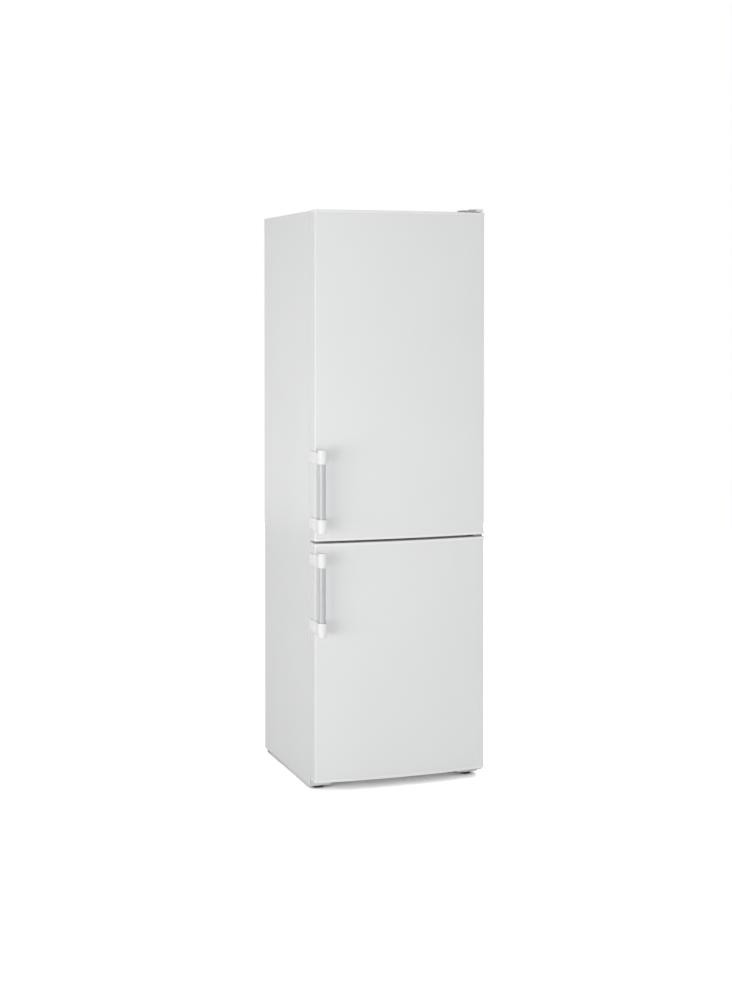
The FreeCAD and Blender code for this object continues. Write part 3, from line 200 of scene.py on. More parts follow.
def dress(material, slot, *names):
    """Give carried-over CAD nodes their finish."""
    for name in names:
        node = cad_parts[name]
        node.data.materials.clear()
        node.data.materials.append(material)


low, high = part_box("outer_shell")
FRONT, FOLD, SHEET, HEM = low.y, 0.0025, 0.0008, 0.0025


def wrapper_outline(inset):
    """Two sides and a top as one closed ring: up the left side, over, down the right side, and back on the
    sheet's inner face. The inset draws the ring in, as far as the round front edge is folded. The sides
    end a hem lower than the flange."""
    turn = np.linspace(0, math.pi / 2, 6)
    lines = []
    for edge in (inset, max(SHEET, inset + SHEET / 2)):
        x, z, radius = high.x - edge, high.z - edge, max(FOLD - edge, SHEET / 4)
        left = np.column_stack([-x + radius - radius * np.cos(turn), z - radius + radius * np.sin(turn)])
        right = left[::-1] * (-1, 1)
        lines.append(np.concatenate([[[-x, low.z - HEM]], left, right, [[x, low.z - HEM]]]))
    return np.concatenate([lines[0], lines[1][::-1]])[::-1]


turn = np.linspace(0, math.pi / 2, 6)
fold_inset = np.append(FOLD * (1 - np.sin(turn)), 0.0)
fold_depth = np.append(low.y + FOLD * (1 - np.cos(turn)), high.y)
wrap = stack([wrapper_outline(inset) for inset in fold_inset], fold_depth, "y")
FLANGE, FLANGE_FOOT = 0.026, 0.045
RAIL = 0.798, 0.850
mouth = low.x + FLANGE, high.x - FLANGE
strips = [
    (low.x + FOLD, mouth[0], FLANGE_FOOT, high.z - FOLD),
    (mouth[1], high.x - FOLD, FLANGE_FOOT, high.z - FOLD),
    (*mouth, high.z - FLANGE, high.z - FOLD),
    (*mouth, *RAIL),
]
CUT = {"corner": 0.0004, "edge": 0.0002, "axis": "y"}
flange = [soft_box(x0, x1, FRONT, FRONT + SHEET, z0, z1, **CUT) for x0, x1, z0, z1 in strips]
piece("cabinet_wrapper", [wrap] + flange, PAINT, "cabinet", "white_steel", "outer_shell")


# The rear panel and the base tray: galvanised sheet, left bare, with the zinc's crystals as faint
# patches. The base tray carries the compressor and, on two forks, the rear rollers.


def zinc_sheet():
    """Hot-dip zinc: crystals about 8 mm across, each with its own grey and gloss."""
    made = finish("galvanised sheet", (0.52, 0.53, 0.54), 0.42, metallic=1.0)
    place = add_node(made.node_tree, "TexCoord").outputs["Object"]
    crystals = add_node(made.node_tree, "TexVoronoi", {"Scale": 120.0, "Vector": place}).outputs["Color"]
    tint(made, crystals, (0.49, 0.50, 0.51), (0.56, 0.57, 0.58))
    gloss(made, crystals, 0.32, 0.55)
    return made


GALVANISED = zinc_sheet()
dress(GALVANISED, "galvanised_steel", "rear_panel", "base_tray")


# The insulation: foam blown into the space between wrapper and liners, which fills every wall. It shows
# only where a panel is off, as a yellowish block with a fine cell structure.


def blown_foam():
    """Rigid foam: cells under a millimetre across, in darker and lighter flow marks."""
    made = finish("blown foam", (0.72, 0.62, 0.38), 0.85)
    tint(made, noise(made, 25.0), (0.66, 0.55, 0.32), (0.76, 0.67, 0.44))
    bump(made, noise(made, 1500.0), 0.0004)
    return made


FOAM = blown_foam()
dress(FOAM, "foam", "insulation_foam", "fridge_door_foam", "freezer_door_foam")


# The two liners: glossy white polystyrene, vacuum-formed in one sheet each, so every corner is round.
# The fridge's has ribs for the glass shelves, the freezer's steps forward over the machine room.


def formed_plastic():
    """Vacuum-formed sheet: glossy, slightly warm white, with long shallow waves from the mould."""
    made = finish("formed white plastic", (0.76, 0.76, 0.745), 0.2)
    tint(made, noise(made, 5.0), (0.75, 0.75, 0.735), (0.775, 0.775, 0.76))
    gloss(made, noise(made, 14.0), 0.16, 0.26)
    bump(made, noise(made, 45.0, detail=1.0), 0.00008)
    return made


FORMED = formed_plastic()
LINER_WALL, LINER_CORNER, LINER_MOUTH = 0.0015, 0.016, 0.004


def lining(name, inside, floor_back, back, step):
    """A liner as rings from front to back. The first ring is the flange's edge, the next ones turn in at
    the mouth along a quarter circle, then the rings run back. At the step the lower edge climbs, and at
    the back wall the rings draw in along a quarter circle, and the last one is filled."""
    x1, z0, z1 = inside
    low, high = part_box(f"{name}_liner")
    outlines, heights = [rounded_rectangle(-high.x, high.x, low.z, high.z, 0.001)], [low.y]

    def ring(grow, low_edge, y):
        corner = LINER_CORNER + grow
        outlines.append(rounded_rectangle(-x1 - grow, x1 + grow, low_edge - grow, z1 + grow, corner))
        heights.append(y)

    turn = np.linspace(0, math.pi / 2, 5)
    bends = [(LINER_CORNER * (1 - math.sin(a)), LINER_CORNER * (1 - math.cos(a))) for a in turn]
    for angle in turn:
        ring(LINER_MOUTH * (1 - math.sin(angle)), z0, low.y + LINER_MOUTH * (1 - math.cos(angle)))
    if step is not None:
        for far, near in bends:
            ring(0.0, z0 + near, floor_back - far)
        for far, near in bends:
            ring(0.0, step - far, floor_back + near)
    for far, near in bends:
        ring(-near, step or z0, back - far)
    points, faces = stack(outlines, heights, "y", fill=False)
    faces = [face[::-1] for face in faces]
    last = len(points) - len(outlines[0])
    faces.append(list(range(last, len(points))))
    return points, faces


CAVITY_X, FRIDGE_CAVITY, FREEZER_CAVITY = 0.247, (0.860, 1.862), (0.090, RAIL[0])
BACK_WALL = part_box("fridge_liner")[1].y - LINER_WALL
STEP_Y, STEP_Z = 0.052 - LINER_WALL, 0.300 + LINER_WALL
GLASS, TRIM_DEEP = 0.004, 0.014
RIB_WIDE, RIB_TALL, RIB_ROUND, SUNK = 0.007, 0.006, 0.0015, 0.0005
glass_low, glass_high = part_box("glass_shelves")
cover_low, cover_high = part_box("crisper_cover")
freezer_low, freezer_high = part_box("freezer_shelves")
UPPER, MIDDLE, LOWER = glass_high.z - GLASS, 1.43095, glass_low.z
for name, span, floor_back, step, front, glasses in (
    ("fridge", FRIDGE_CAVITY, None, None, glass_low.y - TRIM_DEEP, (UPPER, MIDDLE, LOWER, cover_low.z)),
    ("freezer", FREEZER_CAVITY, STEP_Y, STEP_Z, freezer_low.y, (freezer_low.z, freezer_high.z - GLASS)),
):
    inside = CAVITY_X - LINER_WALL, span[0] + LINER_WALL, span[1] - LINER_WALL
    shapes = [lining(name, inside, floor_back, BACK_WALL, step)]
    made = piece(f"{name}_lining", shapes, FORMED, "cabinet", "liner_plastic", f"{name}_liner")
    wall = made.modifiers.new("sheet thickness", "SOLIDIFY")
    wall.thickness = LINER_WALL
    wall.offset = -1.0
    shapes = []
    for z in glasses:
        back = BACK_WALL if z != freezer_low.z else STEP_Y
        for side in (-1, 1):
            a, b = sorted((side * (inside[0] - RIB_WIDE), side * (CAVITY_X - SUNK)))
            shapes.append(soft_box(a, b, front, back, z - RIB_TALL, z, RIB_ROUND, RIB_ROUND, "y"))
    piece(f"{name}_shelf_ribs", shapes, FORMED, "cabinet", "liner_plastic")


# The rail under the doors: folded steel, painted white, with a tall lug at each corner that carries the
# foot's nut on a shelf. The lugs' lower edges are rolled into a round hem.
dress(PAINT, "white_steel", "front_base_rail")
low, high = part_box("front_base_rail")
LUG_WIDE, LUG_RISE, ROLL, HANG = 0.072, 0.022, 0.002, 0.003
turn = np.linspace(0, 2 * math.pi, 16, endpoint=False)
foot, step = low.z - HANG + ROLL, high.x - LUG_WIDE
hems = []
for way in (-1, 1):
    path = sorted([(way * high.x, foot), (way * step, foot), (way * (step - LUG_RISE), foot + LUG_RISE)])
    rings = [np.column_stack([FRONT + ROLL * np.cos(turn), z + ROLL * np.sin(turn)]) for _, z in path]
    hems.append(stack(rings, [x for x, _ in path], "x"))
piece("lug_hems", hems, PAINT, "cabinet", "white_steel")


# The screw feet: black plastic discs with a grip of small flutes round the rim, on a threaded spindle,
# turned by hand to level the cabinet.


def lathe(profile, x, y, z, axis="z", steps=48, wave=0.0, teeth=0, loop=False):
    """A solid of revolution: each radius and height of the profile is a ring round the axis through a
    point. A wave cuts flutes of that depth, a cosine with a number of teeth, into the widest rings. With
    loop, the profile closes on itself round a bore."""
    turn = np.linspace(0, 2 * math.pi, steps, endpoint=False)
    circle = np.column_stack([np.cos(turn), np.sin(turn)])
    flutes = wave * (0.5 + 0.5 * np.cos(teeth * turn))
    widest = max(radius for radius, _ in profile)
    outlines = []
    for radius, _ in profile:
        cut = flutes if radius > 0.9 * widest else 0.0 * turn
        outlines.append(circle * np.maximum(radius - cut, 1e-5)[:, None])
    points, faces = stack(outlines, [height for _, height in profile], axis, loop)
    return points + np.array([x, y, z]), faces


def turned(radius, length, edge, steps=4):
    """Profile of a disc or rod with both rims rounded by a quarter circle."""
    turn = np.linspace(0, math.pi / 2, steps)
    low = [(radius - edge * (1 - math.sin(a)), edge * (1 - math.cos(a))) for a in turn]
    high = [(radius - edge * (1 - math.cos(a)), length - edge + edge * math.sin(a)) for a in turn]
    return low + high


def black_plastic():
    """Glass-filled black plastic: matt, with a fine grain."""
    made = finish("black moulded plastic", (0.02, 0.02, 0.021), 0.5)
    tint(made, noise(made, 60.0), (0.016, 0.016, 0.017), (0.026, 0.026, 0.027))
    bump(made, noise(made, 1200.0), 0.00005)
    return made


BLACK_PLASTIC = black_plastic()
PAD_TALL, SCREW, ROOT, TIP, PITCH, TURNS = 0.010, 0.005, 0.0044, 0.0042, 0.00175, 17
for name in ("foot_left", "foot_right"):
    low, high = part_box(name)
    x, y, radius = (low.x + high.x) / 2, (low.y + high.y) / 2, (high.x - low.x) / 2
    pad = lathe(turned(radius, PAD_TALL, edge=0.0015), x, y, low.z, steps=96, wave=0.0008, teeth=24)
    profile = [(SCREW, PAD_TALL - 0.001)]
    for k in range(TURNS):
        crest = PAD_TALL + 0.0001 + PITCH * k
        profile += [(SCREW, crest), (ROOT, crest + PITCH / 2)]
    spindle = lathe(profile + [(TIP, high.z - low.z)], x, y, low.z, steps=32)
    piece(f"screw_{name}", [pad, spindle], BLACK_PLASTIC, name, "black_plastic", name, crease=50)


# The rear rollers: black plastic wheels with a rounded tread, each on the pin of its fork, on which the
# cabinet is wheeled out.
BORE, HUB_SUNK = 0.0031, 0.0015
for name in ("roller_left", "roller_right"):
    low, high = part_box(name)
    y, z, radius, width = (low.y + high.y) / 2, (low.z + high.z) / 2, (high.z - low.z) / 2, high.x - low.x
    near = [(BORE, HUB_SUNK), (radius * 0.4, HUB_SUNK), (radius * 0.45, 0.0)]
    profile = near + turned(radius, width, edge=0.002) + [(r, width - h) for r, h in near[::-1]]
    wheel = lathe(profile, low.x, y, z, "x", loop=True)
    piece(f"rear_{name}", [wheel], BLACK_PLASTIC, name, "black_plastic", name)


# The compressor: two deep-drawn steel shells welded at the waist and enamelled black, on a pressed plate
# that stands on four rubber grommets, with a relay box on its side.


def enamel():
    """Stoved black enamel: glossy, with a slight ripple and a film of dust that dulls it in patches."""
    made = finish("black enamel", (0.018, 0.018, 0.019), 0.25)
    tint(made, noise(made, 18.0), (0.014, 0.014, 0.015), (0.03, 0.03, 0.03))
    gloss(made, noise(made, 30.0), 0.2, 0.45)
    bump(made, noise(made, 90.0, detail=2.0), 0.0001)
    return made


ENAMEL = enamel()
low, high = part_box("compressor")
x, y = (low.x + high.x) / 2, (low.y + high.y) / 2
CAN, SEAM, LID, BARREL, DOME, CAN_FOOT, COAT = 0.078, 0.0782, 0.076, 0.074, 0.040, 0.086, 0.0002
PLATE_HALF, PLATE_THICK, BOX_HALF, BOX_LOW, BOX_HIGH = 0.065, 0.003, 0.023, 0.090, 0.136
waist = CAN_FOOT + BARREL * 0.52
turn = np.linspace(0, math.pi / 2, 12)
can = [(CAN * math.sin(a), CAN_FOOT - DOME * math.cos(a)) for a in turn]
can += [(CAN, waist - 0.004), (SEAM, waist - 0.003), (SEAM, waist + 0.003), (LID, waist + 0.004)]
can += [(LID * math.cos(a), CAN_FOOT + BARREL + DOME * math.sin(a)) for a in turn]
plate = low.x, high.x, y - PLATE_HALF, y + PLATE_HALF, low.z, low.z + PLATE_THICK
relay = x + CAN - 0.0115, x + CAN + 0.0253, y - BOX_HALF, y + BOX_HALF, BOX_LOW, BOX_HIGH
shapes = [
    lathe([(radius - COAT, h) for radius, h in can], x, y, 0.0, steps=96),
    soft_box(*plate, corner=0.014, edge=0.0008),
    soft_box(*relay, corner=0.004, edge=0.003),
]
piece("compressor_can", shapes, ENAMEL, "cabinet", "black_enamel", "compressor", crease=50)


def soft_rubber():
    """Black rubber, matt and slightly blotched."""
    made = finish("black rubber", (0.02, 0.02, 0.02), 0.75)
    tint(made, noise(made, 80.0), (0.015, 0.015, 0.015), (0.03, 0.03, 0.03))
    return made


BLACK_RUBBER = soft_rubber()
low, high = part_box("compressor_feet")
GROMMET, NECK = 0.012, 0.0085
foot = [(GROMMET - 0.002, 0.0), (GROMMET, 0.0015), (GROMMET, 0.004), (NECK, 0.006)]
profile = foot + [(r, high.z - low.z - h) for r, h in foot[::-1]]
places = [(x, y) for x in (low.x + GROMMET, high.x - GROMMET) for y in (low.y + GROMMET, high.y - GROMMET)]
shapes = [lathe(profile, x, y, low.z, steps=32) for x, y in places]
piece("compressor_grommets", shapes, BLACK_RUBBER, "cabinet", "black_rubber", "compressor_feet")


# The evaporation tray: a black moulded dish that stands on the compressor, whose heat dries the water
# that runs down from the fridge's back wall.


def vessel(x0, x1, y0, y1, z0, z1, wall, corner, draft, foot=0.004):
    """An open-topped tub as rings: in a quarter circle round its foot, up the leaning outside, over a
    half-round rim, down the inside and in round the floor."""
    turn = np.linspace(0, math.pi / 2, 5)
    arch = np.linspace(0, math.pi, 7)
    rows = [(draft + foot * (1 - math.sin(a)), z0 + foot * (1 - math.cos(a))) for a in turn]
    rows += [(wall / 2 * (1 - math.cos(a)), z1 - wall / 2 + wall / 2 * math.sin(a)) for a in arch]
    rows += [(draft + wall + foot * (1 - math.cos(a)), z0 + wall + foot * (1 - math.sin(a))) for a in turn]
    outlines = [rounded_rectangle(x0, x1, y0, y1, corner, inset) for inset, _ in rows]
    return stack(outlines, [height for _, height in rows])


low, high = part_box("evaporation_tray")
tray = vessel(low.x, high.x, low.y, high.y, low.z, high.z, wall=0.002, corner=0.016, draft=0.003)
piece("drip_dish", [tray], BLACK_PLASTIC, "cabinet", "black_plastic", "evaporation_tray")


# The condenser: one steel tube bent back and forth with upright wires spot-welded to it, dipped in black
# enamel, held off the back by four plastic spacers.
dress(ENAMEL, "black_enamel", "condenser_coil")
low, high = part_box("condenser_spacers")
CLIP_WIDE, CLIP_TALL = 0.014, 0.022
shapes = []
for x0, x1 in ((low.x, low.x + CLIP_WIDE), (high.x - CLIP_WIDE, high.x)):
    for z0, z1 in ((low.z, low.z + CLIP_TALL), (high.z - CLIP_TALL, high.z)):
        shapes.append(soft_box(x0, x1, low.y, high.y, z0, z1, corner=0.003, edge=0.001, axis="y"))
piece("condenser_clips", shapes, BLACK_PLASTIC, "cabinet", "black_plastic", "condenser_spacers")


# The refrigerant lines and the filter drier: soft copper tube, brazed into the compressor and into a
# spun copper can.


def copper():
    """Drawn copper, dulled to brown in patches by the heat of the brazing."""
    made = finish("drawn copper", (0.72, 0.36, 0.22), 0.3, metallic=1.0)
    tint(made, noise(made, 22.0), (0.50, 0.24, 0.15), (0.78, 0.42, 0.27))
    gloss(made, noise(made, 60.0), 0.22, 0.42)
    return made


COPPER = copper()
dress(COPPER, "copper", "refrigerant_pipes", "filter_drier")


# The mains gland: a ring of black plastic, moulded and pressed onto a post of the base tray, where a
# supply cord would go in.
dress(BLACK_PLASTIC, "black_plastic", "mains_gland")


# The hinge brackets: plain steel plates with a leg against the cabinet and a riveted pin, painted
# grey, each held by zinc-plated screws. The top one's front and left edges are folded down, a rib is
# pressed in it, and a white cap stands over its pin.


def grey_paint():
    """Thin grey paint on steel: satin, and a little uneven."""
    made = finish("grey hinge paint", (0.50, 0.50, 0.505), 0.4)
    tint(made, noise(made, 50.0), (0.48, 0.48, 0.485), (0.52, 0.52, 0.525))
    bump(made, noise(made, 700.0), 0.00003)
    return made


def bright_zinc():
    """Zinc plate: bright, with fine streaks."""
    made = finish("bright zinc plate", (0.70, 0.71, 0.72), 0.25, metallic=1.0)
    gloss(made, noise(made, 300.0, stretch=(1.0, 1.0, 0.1)), 0.18, 0.34)
    return made


GREY_PAINT = grey_paint()
dress(GREY_PAINT, "dark_steel", "middle_hinge_bracket", "bottom_hinge_bracket", "top_hinge_bracket")
low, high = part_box("top_hinge_bracket")
HINGE_PLATE, LIP, LIP_TALL, SIDE_START = 0.003, 0.0015, 0.004, 0.0008
RIB_START, RIB_DEEP, RIB_RISE, CAP_START = 0.023, 0.012, 0.003, 0.013
left, right, under = low.x + SUNK, high.x - CAP_START, high.z - HINGE_PLATE
fold = under - LIP_TALL, under + 0.0001
lip = soft_box(left, right, low.y, low.y + LIP, *fold, corner=0.0004, edge=0.0003)
side = soft_box(left, left + LIP, low.y + SIDE_START, FRONT - SUNK, *fold, corner=0.0004, edge=0.0003)
rise = high.z - 0.0001, high.z + RIB_RISE
rib = soft_box(left + RIB_START, right, low.y, low.y + RIB_DEEP, *rise, corner=0.001, edge=0.001)
piece("top_hinge_edge", [lip, side, rib], GREY_PAINT, "cabinet", "dark_steel")
ZINC = bright_zinc()
dress(ZINC, "zinc_steel", "hinge_screws")


def moulded_white():
    """Moulded white plastic: satin, with the light grain of an eroded mould."""
    made = finish("moulded white plastic", (0.80, 0.80, 0.80), 0.38)
    tint(made, noise(made, 12.0), (0.79, 0.79, 0.79), (0.815, 0.815, 0.815))
    bump(made, noise(made, 900.0, detail=2.0), 0.00003)
    return made


MOULDED = moulded_white()
low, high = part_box("top_hinge_cover")
cap = soft_box(low.x, high.x, low.y, high.y, low.z, high.z, corner=0.004, edge=0.002)
piece("hinge_cap", [cap], MOULDED, "cabinet", "white_plastic", "top_hinge_cover")


# The control panel under the fridge's ceiling, moulded white, with three grey keys in round recesses and
# a ribbed lamp cover behind them.
low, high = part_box("control_panel")
KEY_Z, KEY_STEP, KEY_HOLE = (low.z + high.z) / 2, 0.040, 0.0064
COLLAR, COLLAR_TALL, COLLAR_FOOT = 0.0088, 0.0012, 0.0006
panel = soft_box(low.x, high.x, low.y + 0.0003, high.y, low.z, high.z, corner=0.006, edge=0.003, axis="y")
profile = [(KEY_HOLE, 0.0), (KEY_HOLE, -COLLAR_TALL), (COLLAR - 0.0003, -COLLAR_TALL)]
profile += [(COLLAR, -COLLAR_TALL / 2), (COLLAR, 0.0)]
collars = [lathe(profile, KEY_STEP * k, low.y + COLLAR_FOOT, KEY_Z, "y", loop=True) for k in (-1, 0, 1)]
piece("control_panel_cover", [panel] + collars, MOULDED, "cabinet", "white_plastic", "control_panel")


def grey_plastic():
    """Grey plastic: satin with a fine grain."""
    made = finish("grey moulded plastic", (0.30, 0.31, 0.32), 0.42)
    tint(made, noise(made, 90.0), (0.28, 0.29, 0.30), (0.33, 0.34, 0.35))
    bump(made, noise(made, 1100.0), 0.00003)
    return made


GREY = grey_plastic()
KEY_EDGE, HOLLOW = 0.0006, 0.0006
turn = np.linspace(0, math.pi / 2, 5)
for key in ("power", "colder", "fast_cool"):
    low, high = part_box(f"button_{key}")
    x, radius, length = (low.x + high.x) / 2, (high.x - low.x) / 2, high.y - low.y
    profile = [(0.0, HOLLOW), (radius * 0.5, 0.0004), (radius * 0.8, 0.0)]
    profile += [(radius - KEY_EDGE * (1 - math.sin(a)), KEY_EDGE * (1 - math.cos(a))) for a in turn]
    face = lathe(profile + [(radius, length)], x, low.y, KEY_Z, axis="y")
    piece(f"key_{key}", [face], GREY, f"button_{key}", "grey_plastic", f"button_{key}")


def clear_plastic():
    """Clear styrene: a little milky from the mould's grain, with a faint tint and a very slight wave."""
    made = finish("clear styrene", (0.90, 0.94, 0.96), 0.08, Transmission_Weight=0.62, IOR=1.5)
    bump(made, noise(made, 35.0, detail=1.0), 0.0001)
    return made


CLEAR = clear_plastic()
low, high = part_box("interior_light")
RIDGE, RIDGE_STEP, SHOULDER, MARGIN = 0.0008, 0.006, 0.003, 0.002
steps = np.linspace(low.y + MARGIN, high.y - MARGIN, 97)
wave = RIDGE * (1 - np.cos((steps - steps[0]) * math.pi * 2 / RIDGE_STEP)) / 2
line = np.concatenate([
    [(low.y, high.z), (low.y, low.z + SHOULDER)],
    np.column_stack([steps, low.z + wave]),
    [(high.y, low.z + SHOULDER), (high.y, high.z)],
])
lens = stack([line, line], [low.x, high.x], "x")
piece("lamp_cover", [lens], CLEAR, "cabinet", "clear_plastic", "interior_light")


# The glass shelves: hardened float glass with ground edges, each set in a white moulded trim along its
# front, and the plain glass over the crispers.


def float_glass():
    """Float glass: almost clear, faintly green through its thickness, with a very slight waviness."""
    made = finish("float glass", (0.86, 0.95, 0.91), 0.02, Transmission_Weight=0.95, IOR=1.52)
    bump(made, noise(made, 12.0, detail=1.0), 0.00003)
    return made


PLATE = float_glass()


def plates(low, high, bottoms, thick=GLASS):
    """Glass plates over one rectangle at several heights, with round corners and ground edges."""
    ground = {"corner": 0.004, "edge": 0.0006}
    return [soft_box(low.x, high.x, low.y, high.y, z, z + thick, **ground) for z in bottoms]


shelves = plates(glass_low, glass_high, (LOWER, MIDDLE, UPPER))
piece("shelf_plates", shelves, PLATE, "cabinet", "shelf_glass", "glass_shelves")
cover = plates(cover_low, cover_high, (cover_low.z,), cover_high.z - cover_low.z)
piece("crisper_plate", cover, PLATE, "cabinet", "shelf_glass", "crisper_cover")
frozen = plates(freezer_low, freezer_high, (freezer_low.z, freezer_high.z - GLASS))
piece("freezer_plates", frozen, PLATE, "cabinet", "shelf_glass", "freezer_shelves")
TRIM_HALF, TRIM_ROUND = 0.008, {"corner": 0.005, "edge": 0.002, "axis": "x"}
low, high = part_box("shelf_trims")
middles = [z + GLASS / 2 for z in (LOWER, MIDDLE, UPPER)]
spans = [(z - TRIM_HALF, z + TRIM_HALF) for z in middles]
shapes = [soft_box(low.x, high.x, low.y, high.y, *span, **TRIM_ROUND) for span in spans]
piece("shelf_fronts", shapes, MOULDED, "cabinet", "white_plastic", "shelf_trims")


# The crispers and the freezer drawers: clear moulded tubs with leaning walls and rolled rims. A hooked
# grip runs along the top of each front.


def band(line, width):
    """Closed outline of a strip of even width: the line moved half the width to each side along its own
    normal."""
    step = np.gradient(line, axis=0)
    normal = np.column_stack([step[:, 1], -step[:, 0]]) / np.linalg.norm(step, axis=1, keepdims=True)
    return np.concatenate([line + normal * width / 2, (line - normal * width / 2)[::-1]])


GRIP, GRIP_THICK, GRIP_TALL, BEND, TUB_FRONT = 0.014, 0.003, 0.024, 0.008, 0.0045
TUB = {"wall": 0.0025, "corner": 0.012, "draft": 0.0015}
turn = np.linspace(0, math.pi / 2, 9)
drawers = [f"freezer_drawer_{place}" for place in ("bottom", "middle", "top")]
for name in ["crisper_left", "crisper_right"] + drawers:
    low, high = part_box(name)
    face, half = low.y + GRIP, GRIP_THICK / 2
    body = vessel(low.x, high.x, face + SUNK, high.y, low.z, high.z, **TUB)
    plate = low.x, high.x, face, face + TUB_FRONT, low.z, high.z
    front = soft_box(*plate, corner=0.006, edge=0.0015, axis="y")
    y, z = low.y + half, high.z - half
    arc = np.column_stack([y + BEND * (1 - np.sin(turn)), z - BEND * (1 - np.cos(turn))])
    hook = band(np.concatenate([[[face + 0.001, z]], arc, [[y, z - GRIP_TALL]]]), GRIP_THICK)
    grip = rounded(lambda inset: hook, low.x, high.x, 0.0, "x", steps=2)
    piece(f"{name}_tub", [body, front, grip], CLEAR, name, "clear_plastic", name)


# The doors' skins: pre-painted steel sheet, bent round the foam with a gentle bow across the front and a
# small round at each side, open at top and bottom where the end caps close it.
WIDTH, BOW, CORNER = 0.300, 0.0174, 0.007
DOOR_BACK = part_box("fridge_door_skin")[1].y
CORNER_Y = DOOR_BACK - 0.050
BOW_RADIUS = (WIDTH**2 + BOW**2) / (2 * BOW)
BOW_CENTRE = CORNER_Y - BOW + BOW_RADIUS


def door_line(inset):
    """The plan of a door, from its back left corner down the left side, round the corner, along the bow,
    round the other corner and up the right side. Corner circles touch side and bow: their centres stand a
    corner radius inside both."""
    run = WIDTH - CORNER
    centre_y = BOW_CENTRE - math.sqrt((BOW_RADIUS - CORNER) ** 2 - run**2)
    lean = math.atan2(BOW_CENTRE - centre_y, run)
    left = np.linspace(math.pi, math.pi + lean, 12)
    front = np.linspace(math.pi + lean, 2 * math.pi - lean, 49)[1:-1]
    radius = CORNER - inset
    corner = np.column_stack([-run + radius * np.cos(left), centre_y + radius * np.sin(left)])
    reach = BOW_RADIUS - inset
    bow = np.column_stack([reach * np.cos(front), BOW_CENTRE + reach * np.sin(front)])
    back = np.array([[-WIDTH + inset, DOOR_BACK]])
    return np.concatenate([back, corner, bow, (corner * (-1, 1))[::-1], back * (-1, 1)])


SKIN, CUT_EDGE = 0.0007, ((0.0004, 0.0), (0.0001, 0.0002), (0.0, 0.0005))
DOORS = ("fridge_door", "freezer_door")
for door in DOORS:
    low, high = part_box(f"{door}_skin")
    rows = [(inset, low.z + h) for inset, h in CUT_EDGE]
    rows += [(inset, high.z - h) for inset, h in CUT_EDGE[::-1]]
    # Each ring is the door's plan and the same line a sheet's thickness inside it.
    rings = [np.concatenate([door_line(inset), door_line(SKIN)[::-1]]) for inset, _ in rows]
    skin = stack(rings, [z for _, z in rows])
    piece(f"{door}_steel", [skin], PAINT, door, "white_steel", f"{door}_skin")


# The end caps of the doors: white mouldings that close the skin at top and bottom, with softly rounded
# edges. At the right an ear stands out round the hinge pin's bush.
CAP, EAR, BUSH, SOFT, CRISP = 0.009, 0.004, 0.008, 0.0016, 0.0004
EAR_SPAN = WIDTH - BUSH, WIDTH + EAR, CORNER_Y + 0.008, CORNER_Y + 0.040
turn = np.linspace(0, math.pi / 2, 5)
lower_cap = [(SOFT * (1 - math.sin(a)), SOFT * (1 - math.cos(a))) for a in turn]
lower_cap += [(CRISP * (1 - math.cos(a)), CAP - CRISP * (1 - math.sin(a))) for a in turn]
upper_cap = [(inset, CAP - h) for inset, h in lower_cap[::-1]]
for door in DOORS:
    low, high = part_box(f"{door}_end_caps")
    shapes = []
    for z, rows in ((low.z, lower_cap), (high.z - CAP, upper_cap)):
        shapes.append(stack([door_line(inset) for inset, _ in rows], [z + h for _, h in rows]))
        shapes.append(soft_box(*EAR_SPAN, z, z + CAP, corner=0.0024, edge=0.0012))
    piece(f"{door}_caps", shapes, MOULDED, door, "white_plastic", f"{door}_end_caps")


# The doors' inner panels: white polystyrene, vacuum-formed, with a raised dyke all round that stands
# inside the cabinet's mouth when the door is shut and carries the racks.
SPAN, DYKE, DYKE_CORNER, BORDER, PANEL = 0.235, 0.012, 0.024, 0.051, 0.0014
FOOT_BEND, TOP_BEND, FLOOR_BEND = 0.003, 0.005, 0.006
falls = [(1 - math.sin(a), 1 - math.cos(a)) for a in np.linspace(0, math.pi / 2, 6)]
for door in DOORS:
    low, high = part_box(f"{door}_liner")
    foot, top = DOOR_BACK, high.y
    rows = [(-FOOT_BEND * far, foot + FOOT_BEND * near) for far, near in falls]
    rows += [(TOP_BEND * near, top - TOP_BEND * far) for far, near in falls]
    rows += [(DYKE - TOP_BEND * far, top - TOP_BEND * near) for far, near in falls]
    rows += [(DYKE + FLOOR_BEND * near, foot + 0.0003 + FLOOR_BEND * far) for far, near in falls]
    edge = rounded_rectangle(low.x + 0.0002, high.x - 0.0002, low.z, high.z, 0.001)
    dyke = -SPAN, SPAN, low.z + BORDER, high.z - BORDER, DYKE_CORNER
    outlines = [edge, edge] + [rounded_rectangle(*dyke, inset) for inset, _ in rows]
    panel = stack(outlines, [foot - PANEL, foot] + [y for _, y in rows], "y")
    piece(f"{door}_inner_panel", [panel], FORMED, door, "liner_plastic", f"{door}_liner")


# The door seals: soft white rubber rings with a folded bellows and a magnet strip in their flat front,
# pressed into a groove of the inner panel. At the sides their lip reaches nearly to the door's edge.


def seal_rubber():
    """Soft white rubber: matt, with a tone that wanders a little."""
    made = finish("white seal rubber", (0.72, 0.72, 0.71), 0.6)
    tint(made, noise(made, 30.0), (0.70, 0.70, 0.69), (0.74, 0.74, 0.73))
    bump(made, noise(made, 500.0), 0.00003)
    return made


